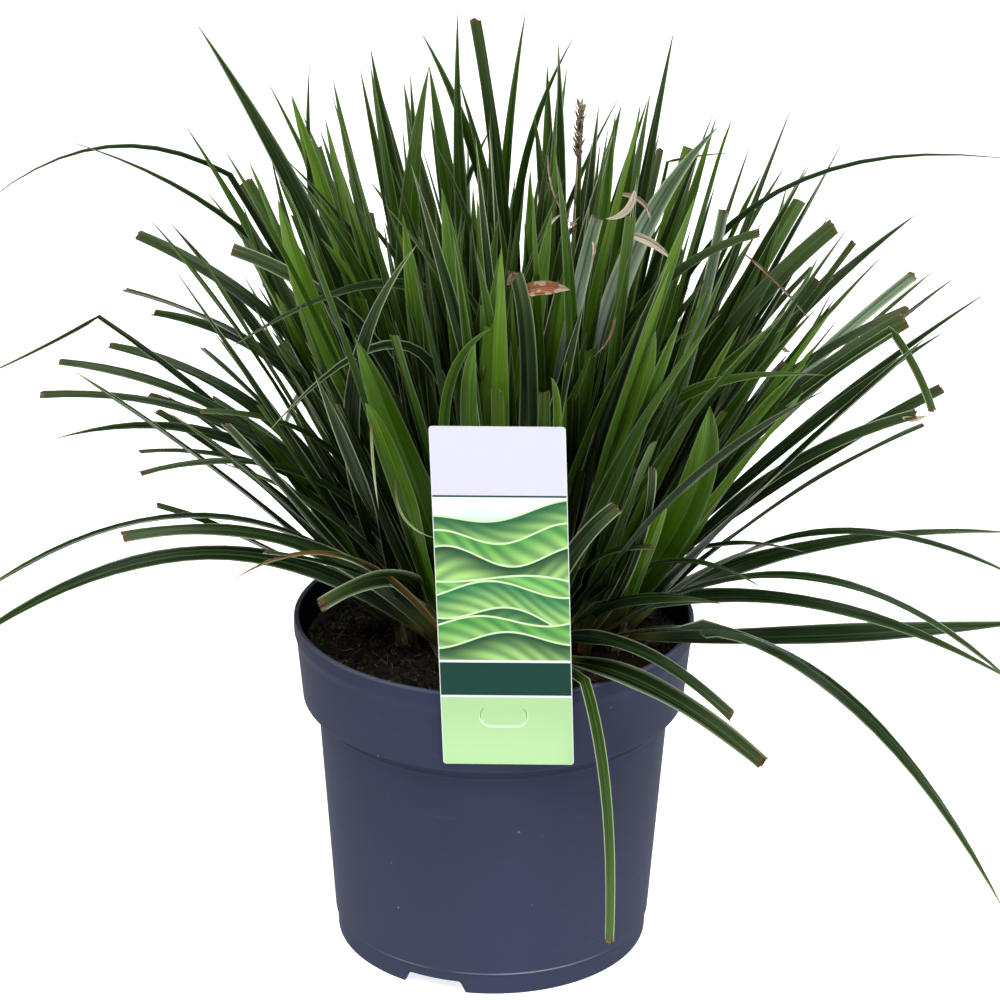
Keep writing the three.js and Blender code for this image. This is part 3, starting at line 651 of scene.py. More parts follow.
labelForm = {
    "thickness": 0.5,
    "width": 59.3,
    "height": 170,
    "corner": 1.5,
    "foot": (7.2, -93.2, 130.2),
    "roll": 2.2,  # degrees
    "lean": 5,
    "turn": 4,
    "net": (18, 46),  # the squares that the sheet bends in
    "tabWidth": 21,
    "tabHeight": 10.5,
    "tabRound": 4.75,
    "tabBase": 20,
    "tabOffset": -1.5,
    "tabCut": 0.22,
    "tabPressed": 0.25,  # how far its free foot stands forward
    "bow": 1.3,  # the sheet stands this much forward at its right upper corner
    "bowFrom": 0.25,
    "pictureLow": 0.318,  # heights as shares of the whole
    "pictureHigh": 0.798,
    "lineBelow": 0.0065,
    "lineAbove": 0.0055,
    "bandLow": 0.2125,
    "footHigh": 0.206,
    "soft": 0.001,
    "hills": 8,
    "seed": 77,
    "sky": (srgb(118, 176, 132), srgb(216, 228, 224)),
    "greens": (
        srgb(24, 92, 54), srgb(84, 156, 70), srgb(10, 52, 36), srgb(112, 180, 92), srgb(40, 120, 72),
    ),
    "sunlit": srgb(158, 204, 118),
    "furrow": srgb(20, 84, 54),
    "crest": srgb(204, 224, 178),
    "line": srgb(214, 218, 224),
    "darkBand": srgb(2, 54, 44),
    "footBand": (srgb(172, 208, 154), srgb(162, 198, 144)),
    "darkLine": srgb(40, 58, 60),
    "head": srgb(200, 199, 216),
    "tabCutHighlight": srgb(222, 240, 214),
    "border": srgb(214, 218, 218),
    "back": srgb(214, 216, 220),
}


# Rolling hills with furrows between plain bands: the print of no one's label
def labelPrint():
    form = labelForm
    paint = Paint("labelPrint")
    u, v, front = paint.carried("labelPlace").parts()
    chance = random.Random(form["seed"])
    low, high = form["pictureLow"], form["pictureHigh"]
    wash = paint.grain(paint.along(u * 2.2, v * 5.0, 0.0), 1.0, 1.0)
    colour = paint.mix((v - high + 0.1).rise(-0.06, 0.12) + wash * 0.4, *form["sky"])
    for i in range(form["hills"]):
        # the furthest hill stands highest
        base = high - (high - low) * (0.14 + 0.84 * i / form["hills"])
        swell = (u * chance.uniform(3.4, 6.4) + chance.uniform(0, 6.28)).sine()
        crest = swell * chance.uniform(0.014, 0.034) + u * chance.uniform(-0.07, 0.07) + base
        depth = crest - v
        tint = paint.mix(depth.rise(0.0, 0.09), form["greens"][i % len(form["greens"])], form["sunlit"])
        slant = chance.choice((-1, 1)) * chance.uniform(26, 44)
        furrows = (u * slant + depth * chance.uniform(110, 190)).sine() * 0.5 + 0.5
        lined = paint.mix(furrows * 0.55, tint, form["furrow"])
        edged = paint.mix(depth.rise(0.0062, 0.0054) * 0.9, lined, form["crest"])
        colour = paint.mix(depth.rise(-0.0006, 0.0006), colour, edged)
    # the bands below and above the picture: where each starts, down or up, its colour
    soft = form["soft"]
    layers = [
        (low + soft, -soft, form["line"]),
        (low - form["lineBelow"], -soft, form["darkBand"]),
        (form["bandLow"], -soft, form["line"]),
        (form["footHigh"], -soft, paint.mix(v.rise(0.02, 0.2), *form["footBand"])),
        (high, soft, form["darkLine"]),
        (high + form["lineAbove"], soft, form["head"]),
    ]
    for start, way, tint in layers:
        colour = paint.mix(v.rise(start, start + way), colour, tint)
    # a painted highlight runs along the foot of the hanging tab's cut
    curve = form["tabRound"]
    halfWidth, halfHeight = form["tabWidth"] / 2, form["tabHeight"] / 2
    sideways = (abs((u - 0.5) * form["width"] - form["tabOffset"]) - (halfWidth - curve)).top(0.0)
    upward = (abs(v * form["height"] - (form["tabBase"] + halfHeight)) - (halfHeight - curve)).top(0.0)
    cut = abs((sideways * sideways + upward * upward) ** 0.5 - curve).rise(0.8, 0.3) * v.rise(0.16, 0.13)
    colour = paint.mix(cut * 0.75, colour, form["tabCutHighlight"])
    colour = paint.mix(abs(u - 0.5).rise(0.493, 0.496), colour, form["border"])
    colour = paint.mix(front, form["back"], colour)
    card = paint.grain(paint.object(), 900, 2.0)
    return paint.finish(colour, 0.3 + card * 0.08, card, reach=0.00004, strength=0.4, gloss=0.14)


def roundedBox(left, base, width, height, radius, steps=6):
    outline = []
    corners = [
        (left + width - radius, base + radius, -90),
        (left + width - radius, base + height - radius, 0),
        (left + radius, base + height - radius, 90),
        (left + radius, base + radius, 180),
    ]
    for x, z, start in corners:
        for step in range(steps + 1):
            angle = math.radians(start + 90 * step / steps)
            outline.append((x + radius * math.cos(angle), z + radius * math.sin(angle)))
    return outline


# The flat sheet in millimetres, with a net of edges fine enough to bow
def labelSheet():
    form = labelForm
    mesh = bmesh.new()
    outline = roundedBox(-form["width"] / 2, 0, form["width"], form["height"], form["corner"])
    mesh.faces.new([mesh.verts.new((x, 0, z)) for x, z in outline])
    mesh.normal_update()
    columns, rows = form["net"]
    cuts = [(0, columns, -form["width"] / 2, form["width"]), (2, rows, 0, form["height"])]
    for axis, count, start, size in cuts:
        across = Vector((0, 0, 0))
        across[axis] = 1
        for i in range(1, count):
            geometry = mesh.verts[:] + mesh.edges[:] + mesh.faces[:]
            at = across * (start + size * i / count)
            bmesh.ops.bisect_plane(mesh, geom=geometry, plane_co=at, plane_no=across)
    grown = bmesh.ops.extrude_face_region(mesh, geom=mesh.faces[:])
    for vertex in grown["geom"]:
        if isinstance(vertex, bmesh.types.BMVert):
            vertex.co.y -= form["thickness"]
    bmesh.ops.recalc_face_normals(mesh, faces=mesh.faces[:])
    data = bpy.data.meshes.new("rimLabel")
    mesh.to_mesh(data)
    mesh.free()
    return inScene("rimLabel", data)


# A thin wall round the hanging tab, which stays joined along the middle of its head
def tabKnife():
    form = labelForm
    left = form["tabOffset"] - form["tabWidth"] / 2
    outer = roundedBox(left, form["tabBase"], form["tabWidth"], form["tabHeight"], form["tabRound"], 8)
    half = len(outer) // 2
    path = outer[half + 4:] + outer[:half - 4]
    centre = Vector((form["tabOffset"], form["tabBase"] + form["tabHeight"] / 2))
    points = []
    for x, z in path:
        inward = (centre - Vector((x, z))).normalized() * form["tabCut"]
        inner = (x + inward.x, z + inward.y)
        corners = (((x, z), -3), (inner, -3), (inner, 3), ((x, z), 3))
        points.extend(Vector((spot[0], depth, spot[1])) for spot, depth in corners)
    knife = Shape()
    knife.add(points, tube(len(path), 4))
    return knife.piece("labelKnife", [], unit=1)


def addLabel():
    form = labelForm
    label = labelSheet()
    cutOut(label, tabKnife())
    turn = Matrix.Identity(4)
    for degrees, axis in ((-form["roll"], "Y"), (form["lean"], "X"), (-form["turn"], "Z")):
        turn = turn @ Matrix.Rotation(math.radians(degrees), 4, axis)
    placed = Matrix.Translation(Vector(form["foot"])) @ turn
    tabReach = form["tabWidth"] / 2 - form["tabCut"]
    values = []
    for vertex in label.data.vertices:
        x, y, z = vertex.co
        u, v = x / form["width"] + 0.5, z / form["height"]
        values.extend((u, v, 1 if y < -form["thickness"] / 2 else 0))
        head = max(0, v - form["bowFrom"]) / (1 - form["bowFrom"])
        vertex.co.y -= form["bow"] * head ** 2 * (0.35 + 0.65 * u)
        aboveTab = z - form["tabBase"]
        if -0.1 < aboveTab < form["tabHeight"] and abs(x - form["tabOffset"]) < tabReach:
            vertex.co.y -= form["tabPressed"] * (1 - aboveTab / form["tabHeight"])
        vertex.co = placed @ vertex.co * mm
    layer = label.data.attributes.new("labelPlace", "FLOAT_VECTOR", "POINT")
    layer.data.foreach_set("vector", values)
    label.data.materials.append(labelPrint())
    label.data.polygons.foreach_set("use_smooth", [True] * len(label.data.polygons))
    label.data.set_sharp_from_angle(angle=math.radians(35))
    place(label, "label_card", "label")


addLabel()
print("label done")


# The clump: where its stems and leaves stand. The solids have the same values and rows.

crown = {
    "x": 8,  # its middle
    "y": 12,
    "radius": 57,
    "stems": 30,
    "lean": 14,  # degrees that the outermost stems lean
    "leafLean": 38,  # the same for the middle of their leaves
    "sheathLength": 9,
    "sheathRadius": 6,
    "sheathTopRadius": 5.7,
    "holeDepth": 10,  # how deep a stem stands in the soil
    "seed": 20611,
}

leafRule = {
    "perStem": 14,  # leaves that are tried on each stem
    "rootDepth": 3,  # below the top of the sheath
    "rootSpread": 4.5,
    "rootShare": 0.3,  # how wide a leaf is at its root, as a share of its full width
    "swellBy": 0.25,  # where along its length it is full
    "taperFrom": 0.5,  # and where it begins to narrow
    "cutTaper": 0.22,
    "keel": 1.25,
    "shortest": 150,
    "longest": 330,
    "lyingLength": 0.82,  # shares of the longest, for a level leaf and a young one
    "youngLength": 0.62,
    "narrowest": 5,
    "widest": 9.5,
    "youngSpread": 2,  # degrees off the way the stem bears
    "oldSpread": 32,
    "trimmedUpright": 0.12,  # how many are trimmed
    "trimmedLying": 0.72,
    "tries": 120,
    "nudge": 0.9,  # how far each new try moves a leaf
    "swing": 12,  # and turns its root, in degrees
    "longSlot": 100,
    "pushed": 9,  # one that stands further off its place goes back to it
    "match": 0.06,  # how near a leaf's tip must be to a corner of its stem's solid
    "frontward": (0, -1, 0.45),  # the way a broad leaf's outer half faces
}

# The air over the front of the pot and round the label: low and high corners
openAir = [
    ((-48, -400, 100), (56, -62, 345)),
    ((-100, -110, 100), (-12, -34, 203)),
    ((-60, -400, 100), (70, -96, 400)),
]

# Kind, width, ending, a point on the way, the tip
longLeaves = [
    # lowest, right
    ("edged", 8.5, "point", (134, -124, 195), (218, -214, 119)),
    ("broad", 10, "cut", (83, -110, 170), (119, -135, 152)),
    # tall, upper left
    ("edged", 9.5, "point", (-85, 40, 341), (-140, 55, 436)),
    ("grown", 3.5, "point", (-120, 35, 343), (-201, 25, 388)),
    ("grown", 7, "cut", (-93, 40, 284), (-172, 80, 325)),
    ("edged", 7, "cut", (-67, 0, 311), (-121, 5, 342)),
    ("grown", 6.5, "cut", (-93, 35, 275), (-180, 75, 302)),
    ("edged", 6, "cut", (-98, 45, 270), (-167, 90, 284)),
    # spread, left
    ("grown", 9, "cut", (-115, 15, 263), (-183, 40, 283)),
    ("edged", 6.5, "cut", (-121, 5, 259), (-201, 20, 280)),
    ("grown", 7.5, "cut", (-128, -5, 256), (-213, 0, 273)),
    ("grown", 5.5, "point", (-142, -20, 264), (-203, -35, 263)),
    ("edged", 5, "cut", (-108, -20, 246), (-161, -35, 258)),
    ("grown", 5, "cut", (-103, -30, 244), (-157, -55, 256)),
    ("grown", 3.5, "point", (-89, -45, 243), (-128, -70, 266)),
    ("grown", 6, "point", (-46, -15, 333), (-122, -40, 308)),
    ("edged", 5, "point", (-52, -50, 315), (-103, -75, 280)),
    ("grown", 6, "cut", (-107, 25, 243), (-166, 60, 253)),
    ("grown", 6, "cut", (-89, -30, 267), (-133, -50, 283)),
    # upright, middle
    ("young", 9.5, "point", (-80, -15, 310), (-97, -25, 373)),
    ("grown", 5, "point", (-84, 60, 320), (-89, 85, 410)),
    ("grown", 6.5, "point", (-50, 70, 337), (-66, 95, 405)),
    ("grown", 8.5, "point", (-46, 35, 357), (-59, 45, 428)),
    ("fresh", 5, "point", (-35, 80, 329), (-42, 105, 400)),
    ("fresh", 11, "point", (-40, 10, 346), (-31, 15, 426)),
    ("grown", 7, "point", (-17, 45, 354), (-19, 60, 442)),
    ("fresh", 5.5, "point", (-9, 65, 365), (-37, 85, 425)),
    ("grown", 7, "cut", (0, 55, 366), (-11, 70, 434)),
    ("young", 9.5, "point", (-18, -48, 325), (-25, -56, 389)),
    ("young", 11, "point", (-1, -52, 295), (2, -58, 364)),
    ("fresh", 5, "point", (3, 75, 350), (13, 95, 434)),
    ("grown", 5, "point", (12, 60, 365), (37, 75, 428)),
    ("edged", 6.5, "point", (29, 35, 362), (27, 45, 433)),
    ("fresh", 8, "point", (24, 70, 337), (23, 90, 409)),
    ("grown", 3.5, "point", (31, 55, 337), (57, 75, 397)),
    ("fresh", 8, "point", (44, 30, 340), (57, 40, 403)),
    ("grown", 4.5, "point", (64, 70, 318), (78, 95, 377)),
    # short and bright, at the front
    ("young", 11.5, "point", (-47, -58, 280), (-62, -70, 326)),
    ("young", 11.5, "point", (91, -55, 260), (97, -68, 294)),
    ("young", 7, "point", (64, -55, 292), (70, -66, 329)),
    ("edged", 8, "cut", (14, -55, 318), (8, -62, 354)),
    ("sheen", 7.5, "cut", (35, -35, 328), (44, -45, 374)),
    ("edged", 6.5, "point", (56, -45, 303), (75, -60, 359)),
    ("young", 7, "point", (-49, -72, 276), (-57, -88, 302)),
    ("young", 5.5, "point", (-12, -72, 300), (-9, -80, 327)),
    ("fresh", 5.5, "point", (26, 10, 317), (34, 18, 363)),
    ("young", 4.5, "point", (-25, -25, 327), (-32, -35, 349)),
    ("grown", 3.5, "point", (-60, 20, 332), (-70, 30, 382)),
    ("young", 3.5, "point", (-20, -58, 302), (-2, -68, 330)),
    ("fresh", 3, "point", (72, -30, 301), (93, -45, 324)),
    ("fresh", 4, "cut", (93, -20, 284), (129, -30, 320)),
    ("young", 3, "point", (28, -70, 290), (24, -80, 311)),
    ("edged", 4.5, "cut", (67, -75, 243), (69, -84, 271)),
    ("young", 4.5, "point", (72, -66, 234), (77, -74, 254)),
    # spread, back
    ("grown", 8, "point", (40, 130, 290), (70, 213, 262)),
    ("grown", 7, "cut", (-50, 120, 285), (-100, 190, 252)),
    ("grown", 7.5, "point", (-10, 130, 300), (-40, 211, 285)),
    ("grown", 6.5, "cut", (95, 110, 270), (150, 175, 236)),
    ("grown", 8.5, "point", (75, 95, 240), (125, 205, 178)),
    ("grown", 8, "point", (-65, 100, 235), (-115, 208, 170)),
    ("grown", 7.5, "cut", (10, 120, 245), (15, 205, 205)),
    # upper right
    ("sheen", 10.5, "point", (63, 10, 349), (100, 20, 399)),
    ("grown", 4, "point", (140, 35, 368), (248, 30, 379)),
    ("fresh", 5, "point", (119, 45, 296), (137, 65, 359)),
    ("grown", 5, "point", (88, 75, 296), (106, 105, 347)),
    ("sheen", 6, "cut", (92, 15, 297), (104, 20, 358)),
    ("grown", 5, "cut", (71, -25, 333), (116, -40, 366)),
    ("grown", 9, "cut", (112, 30, 298), (159, 55, 339)),
    ("grown", 3, "point", (130, 55, 298), (163, 85, 341)),
    ("fresh", 5, "point", (120, 5, 290), (152, 15, 336)),
    ("grown", 4.5, "point", (129, -25, 289), (150, -40, 341)),
    ("sheen", 7.5, "cut", (143, 30, 274), (198, 60, 315)),
    ("grown", 9.5, "cut", (127, 0, 265), (189, 10, 309)),
    ("grown", 6.5, "cut", (131, 15, 271), (192, 35, 306)),
    ("edged", 6, "cut", (135, -30, 252), (189, -45, 283)),
    ("fresh", 6.5, "point", (85, -50, 291), (143, -75, 311)),
    # drooping, lower left
    ("edged", 8, "point", (-151, -60, 236), (-242, -95, 203)),
    ("edged", 8.5, "point", (-135, -85, 231), (-240, -135, 197)),
    ("edged", 7.5, "cut", (-101, -65, 232), (-163, -90, 241)),
    ("streaked", 3.5, "point", (-87, -75, 224), (-117, -95, 219)),
    ("broad", 9.5, "cut", (-47, -60, 207), (-78, -85, 204)),
    ("edged", 5.5, "cut", (-70, -65, 214), (-102, -85, 229)),
    # drooping, lower right
    ("edged", 8, "point", (161, -15, 217), (248, -30, 224)),
    ("edged", 6.5, "point", (164, -50, 227), (242, -80, 214)),
    ("edged", 7.5, "point", (156, -90, 219), (232, -150, 191)),
    ("edged", 9.5, "point", (149, -60, 181), (246, -75, 195)),
    ("edged", 6.5, "point", (160, -75, 200), (237, -115, 179)),
    ("grown", 7.5, "point", (71, -60, 198), (103, -75, 202)),
    ("grown", 4, "point", (103, -40, 217), (142, -55, 219)),
    ("grown", 6, "point", (89, -55, 209), (121, -75, 214)),
    ("edged", 6.5, "cut", (75, -88, 183), (104, -120, 170)),
    ("edged", 6.5, "cut", (52, -60, 220), (71, -75, 229)),
    ("edged", 7.5, "cut", (43, -66, 232), (56, -76, 247)),
]

# Leaves that are snapped over: kind, width, ending, the fold, a point past it, the tip
snappedLeaves = [
    ("grown", 3.5, "point", (-126, 55, 365), (-174, 40, 383), (-246, 20, 352)),
    ("edged", 4.5, "point", (-185, 20, 304), (-207, 10, 294), (-249, 0, 276)),
    ("grown", 3, "point", (81, 85, 362), (99, 90, 364), (117, 95, 364)),
    ("worn", 5, "cut", (180, -10, 311), (191, -15, 295), (200, -20, 275)),
    ("grown", 6, "cut", (12, -20, 330), (23, -25, 333), (34, -30, 337)),
    ("hanging", 7.5, "cut", (41, -94, 172), (48, -106, 145), (54, -112, 49)),
]

# The draws repeat the ones that placed the leaves in the solids, so that each leaf is found again.
drawn = {"state": 0}


def nextDraw():
    drawn["state"] += 0x6D2B79F5
    t = drawn["state"] & 0xFFFFFFFF
    t = ((t ^ t >> 15) * (t | 1)) & 0xFFFFFFFF
    t ^= (t + (t ^ t >> 7) * (t | 61)) & 0xFFFFFFFF
    return (t ^ t >> 14) / 2 ** 32


def startDraws(stem, slot, attempt):
    drawn["state"] = crown["seed"] + stem * 7919 + slot * 104729 + attempt * 1299709
    nextDraw()


def draw(low, high):
    return low + (high - low) * nextDraw()


def leaning(azimuth, degrees):
    lean = math.radians(degrees)
    return headingOf(azimuth) * math.sin(lean) + up * math.cos(lean)


def placeStems():
    stems = []
    for i in range(crown["stems"]):
        startDraws(i, 0, 0)
        reach = math.sqrt((i + 0.5) / crown["stems"])
        azimuth = i * goldenAngle + draw(-3, 3)
        spot = headingOf(azimuth) * (crown["radius"] * reach + draw(-0.6, 0.6))
        axis = leaning(azimuth, crown["lean"] * reach * reach)
        mouth = Vector((crown["x"] + spot.x, crown["y"] + spot.y, soilForm["top"]))
        bearing = leaning(azimuth + draw(-15, 15), crown["leafLean"] * reach * reach + draw(-3, 3))
        node = f"stem_{i + 1:02d}"
        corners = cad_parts[node].data.vertices
        tree = KDTree(len(corners))
        for index, corner in enumerate(corners):
            tree.insert(corner.co / mm, index)
        tree.balance()
        stems.append({
            "number": i,
            "node": node,
            "reach": reach,
            "azimuth": azimuth,
            "axis": axis,
            "bearing": bearing,
            "mouth": mouth,
            "foot": mouth - axis * crown["holeDepth"],
            "length": crown["sheathLength"] + draw(-2, 2),
            "longLeaves": 0,
            "corners": tree,
            "blades": [],
            "crowded": [],  # leaves that the solids had no room for
        })
    return stems


def stemFor(stems, tip):
    aim = Vector((tip[0] - crown["x"], tip[1] - crown["y"], 0))
    climb = max(0, tip[2] - soilForm["top"])
    outward = min(1, 1.25 * aim.length / math.hypot(aim.length, climb))
    aim = aim.normalized() * crown["radius"] * outward + Vector((crown["x"], crown["y"], soilForm["top"]))
    chosen = min(stems, key=lambda stem: (stem["mouth"] - aim).length + 9 * stem["longLeaves"])
    chosen["longLeaves"] += 1
    return chosen


def arcThrough(start, via, end):
    first, second = (via - start).length, (end - via).length
    t = min(max(first / (first + second), 0.3), 0.7)
    control = (via - start * (1 - t) ** 2 - end * t ** 2) / (2 * t * (1 - t))
    return (start, control, end)


def arcPoint(arc, t):
    return arc[0] * (1 - t) ** 2 + arc[1] * (2 * t * (1 - t)) + arc[2] * t ** 2


def arcHeading(arc, t):
    return ((arc[1] - arc[0]) * (1 - t) + (arc[2] - arc[1]) * t).normalized()


def facingOfLong(root, tip):
    run = math.hypot(tip.x - root.x, tip.y - root.y) / (tip - root).length
    return Vector((0, -(1 - 0.75 * run), 0.3 + 0.7 * run))


def outwardOf(stem, direction):
    return (direction - stem["axis"] * direction.dot(stem["axis"])).normalized()


def rootOf(stem, outward, offset):
    return stem["mouth"] + stem["axis"] * (stem["length"] - leafRule["rootDepth"]) + outward * offset


def facingsOf(outward, side):
    return (-outward, -side if outward.dot(side) > 0 else side)


def longStart(stem, slot, attempt, first):
    startDraws(stem["number"], slot, attempt)
    swing = math.radians(leafRule["swing"] * attempt * draw(-1, 1))
    aim = Matrix.Rotation(swing, 3, "Z") @ (Vector(first) - stem["mouth"])
    outward = outwardOf(stem, aim)
    return outward, rootOf(stem, outward, leafRule["rootSpread"] * draw(0.75, 1))


def nudge(attempt):
    return Vector((draw(-1, 1), draw(-1, 1), draw(-1, 1))) * leafRule["nudge"] * attempt


def bladeOf(arcs, facings, width, ending="point", turn=0, twist=0, skew=0, **more):
    return {
        "arcs": arcs, "facings": facings, "width": width, "ending": ending,
        "turn": turn, "twist": twist, "skew": skew, **more,
    }


def longBlade(stem, slot, attempt, row):
    kind, width, ending, via, tip = row
    outward, root = longStart(stem, slot, attempt, via)
    middle = Vector(via) + nudge(attempt)
    end = Vector(tip) + nudge(attempt) * 0.5
    return bladeOf(
        [arcThrough(root, middle, end)], facingsOf(outward, facingOfLong(root, end)), width, ending,
        turn=draw(-0.35, 0.35), twist=draw(-0.5, 0.5), skew=draw(-0.35, 0.35), kind=kind,
    )


def snappedBlade(stem, slot, attempt, row):
    kind, width, ending, fold, over, tip = row
    outward, root = longStart(stem, slot, attempt, fold)
    shift = nudge(attempt)
    bend = Vector(fold) + shift
    middle = (root + bend) / 2
    middle.z += 0.06 * (bend - root).length
    arcs = [arcThrough(root, middle, bend), arcThrough(bend, Vector(over) + shift, Vector(tip) + shift)]
    facings = facingsOf(outward, facingOfLong(root, bend))
    return bladeOf(arcs, facings, width, ending, turn=draw(-0.3, 0.3), kind=kind)


# A leaf of the rule that winds them up their stem: the outer ones are older, longer and lie lower
def ordinaryBlade(stem, slot, attempt):
    rule = leafRule
    startDraws(stem["number"], slot, attempt)
    age = (slot - draw(0, 0.8)) / rule["perStem"]
    search = attempt / rule["tries"]
    swirl = goldenAngle * slot + draw(-15, 15) + 240 * search * draw(-1, 1)
    heading = headingOf(stem["azimuth"] + swirl)
    backward = (1 - math.cos(math.radians(swirl))) / 2
    inner = 1 - 0.75 * stem["reach"] * backward
    opening = rule["youngSpread"] + (rule["oldSpread"] - rule["youngSpread"]) * age * inner + draw(-2, 5)
    spread = math.radians(opening * (1 - 0.4 * search))
    direction = (stem["bearing"] + heading * math.tan(spread)).normalized()
    flat = math.hypot(direction.x, direction.y)
    along = Vector((direction.x, direction.y, 0)).normalized()
    full = rule["longest"] * between(1, rule["lyingLength"], flat)
    young = between(rule["youngLength"], 1, min(1, age * 2.2))
    trimmed = draw(0, 1) < between(rule["trimmedUpright"], rule["trimmedLying"], flat)
    shortening = draw(0.58, 0.85) if trimmed else draw(0.8, 1)
    length = max(rule["shortest"], full * young * shortening * (1 - 0.35 * search))
    outward = outwardOf(stem, heading)
    root = rootOf(stem, outward, rule["rootSpread"] * math.sqrt(age))
    droop = length * (0.03 + flat * draw(0.05, 0.42) * age)
    control = root + direction * length * 0.52
    tip = root + direction * length + along * droop * 0.35
    tip.z -= droop
    facings = facingsOf(outward, Vector((-0.4 * along.x, -0.4 * along.y, 0.9)))
    bent = {"turn": draw(-0.5, 0.5), "twist": draw(-0.8, 0.8), "skew": draw(-0.35, 0.35)}
    width = draw(rule["narrowest"], rule["widest"]) * (0.8 + 0.2 * young) * (1 - 0.35 * search)
    return bladeOf([(root, control, tip)], facings, width, "cut" if trimmed else "point", **bent, age=age)


def widthAt(blade, s, late=1.8):
    swell = min(1, s / leafRule["swellBy"])
    grown = between(leafRule["rootShare"], 1, swell * (2 - swell))
    past = max(0, (s - leafRule["taperFrom"]) / (1 - leafRule["taperFrom"]))
    taper = 1 - leafRule["cutTaper"] * past if blade["ending"] == "cut" else 1 - past ** late
    return blade["width"] * grown * taper


def softStep(value, low, high):
    share = min(1, max(0, (value - low) / (high - low)))
    return share * share * (3 - 2 * share)


# Where a leaf is at a share t of one of its arcs: place, heading, the way its inner face looks, its side
def bladeFrame(blade, arc, t, s):
    forward = arcHeading(arc, t)
    inner, outer = blade["facings"]
    above = inner.lerp(outer, softStep(s, 0.1, 0.6))
    above = (above - forward * above.dot(forward)).normalized()
    angle = blade["turn"] * min(1, s / 0.4) + blade["twist"] * s
    above = Matrix.Rotation(angle, 3, forward) @ above
    return arcPoint(arc, t), forward, above, above.cross(forward)


def isInSolid(blade, stem):
    point, forward, above, side = bladeFrame(blade, blade["arcs"][-1], 1, 1)
    ends = [point]
    if blade["ending"] == "cut":
        corner = (side + forward * blade["skew"]) * (widthAt(blade, 1) / 2)
        ends = [point + corner, point - corner]
    return all(stem["corners"].find(end)[2] < leafRule["match"] for end in ends)


# The leaf as it stands in the solids, or none where it found no room
def findBlade(stem, make):
    for attempt in range(leafRule["tries"]):
        blade = make(attempt)
        if isInSolid(blade, stem):
            return blade
    return None


def growClump():
    stems = placeStems()
    rows = [(longBlade, row, row[4]) for row in longLeaves]
    rows += [(snappedBlade, row, row[3]) for row in snappedLeaves]
    lost, moved = [], []
    for index, (make, row, aim) in enumerate(rows):
        stem = stemFor(stems, aim)
        slot = leafRule["longSlot"] + index
        blade = findBlade(stem, lambda attempt: make(stem, slot, attempt, row))
        if blade is None:
            lost.append(index)
            continue
        meant = make(stem, slot, 0, row)
        pushed = arcPoint(blade["arcs"][0], 0.7) - arcPoint(meant["arcs"][0], 0.7)
        if pushed.length > leafRule["pushed"]:
            blade = meant
            moved.append(index)
        if blade["kind"] == "broad":
            blade["facings"] = (blade["facings"][0], Vector(leafRule["frontward"]))
        stem["blades"].append(blade)
    for slot in range(1, leafRule["perStem"] + 1):
        for stem in stems:
            blade = findBlade(stem, lambda attempt: ordinaryBlade(stem, slot, attempt))
            if blade is None:
                stem["crowded"].append(ordinaryBlade(stem, slot, 0))
            else:
                stem["blades"].append(blade)
    print("leaves found:", sum(len(stem["blades"]) for stem in stems))
    print("long ones lost:", lost, "put back:", moved)
    return stems


stems = growClump()


# Its leaves

leafForm = {
    "stations": 22,  # along a leaf
    "columns": 8,  # across it
    "thick": 0.36,
    "edgeThick": 0.14,
    "bulge": 0.32,  # how far each half of a leaf arches above its fold
    "wave": 0.5,
    "fullHalf": 1.8,  # a leaf whose half is narrower is thinner and flatter too
    "ragged": 0.7,  # how uneven a trimmed end is
    "seed": 9031,
}

# Added among the leaves of the solids: how many a stem, degrees off its bearing, and their limits
fillerForm = {"count": 4, "spread": (4, 26), "length": (110, 205), "offset": (1, 4), "width": (6, 10)}
slenderForm = {
    "count": 6,
    "spread": (2, 13),
    "length": (200, 285),
    "offset": (0, 3),
    "width": (4.4, 7.4),
    "sway": 0.36,  # how far the ones that bend over go, as a share of their length
    "trimmed": 0.5,
    "trimmedBeyond": 30,  # only those whose tips stand further to the right are cut
    "trimmedLength": 0.78,
    "reach": 62,  # none stands further to the right
}
innerForm = {"crowdedLength": 0.75, "stations": 16, "flattest": 0.56, "overSoil": 4}
huskForm = {"count": 4, "offset": 4.2, "rise": (12, 30), "opening": (1, 9), "width": (5, 8), "stations": 8}

# How green a leaf is (0 bluish, 1 yellow-green), how pale its margins, how scorched its end,
# how much wider it is than its solid, and how late it narrows to its point
kinds = {
    "young": {"tone": 0.92, "margin": 0.1, "scorch": 0.1, "fuller": 1.4, "late": 3.0},
    "fresh": {"tone": 0.7, "margin": 0.15, "scorch": 0.3, "fuller": 1.2, "late": 2.2},
    "grown": {"tone": 0.42, "margin": 0.15, "scorch": 0.7, "fuller": 1.1, "late": 1.8},
    "edged": {"tone": 0.34, "margin": 0.9, "scorch": 0.7, "fuller": 1.1, "late": 1.8},
    "sheen": {"tone": 0.02, "margin": 1.0, "scorch": 0.7, "fuller": 1.05, "late": 2.2},
    "broad": {"tone": 0.3, "margin": 0.95, "scorch": 0.8, "fuller": 1.1, "late": 1.8},
    "worn": {"tone": 0.42, "margin": 0.6, "scorch": 1.12, "fuller": 1.0, "late": 1.8},
    "hanging": {"tone": 0.72, "margin": 0.8, "scorch": 1.0, "fuller": 0.72, "late": 1.8},
    "streaked": {"tone": 0.5, "margin": 1.0, "scorch": 1.6, "fuller": 1.1, "late": 1.8},
}

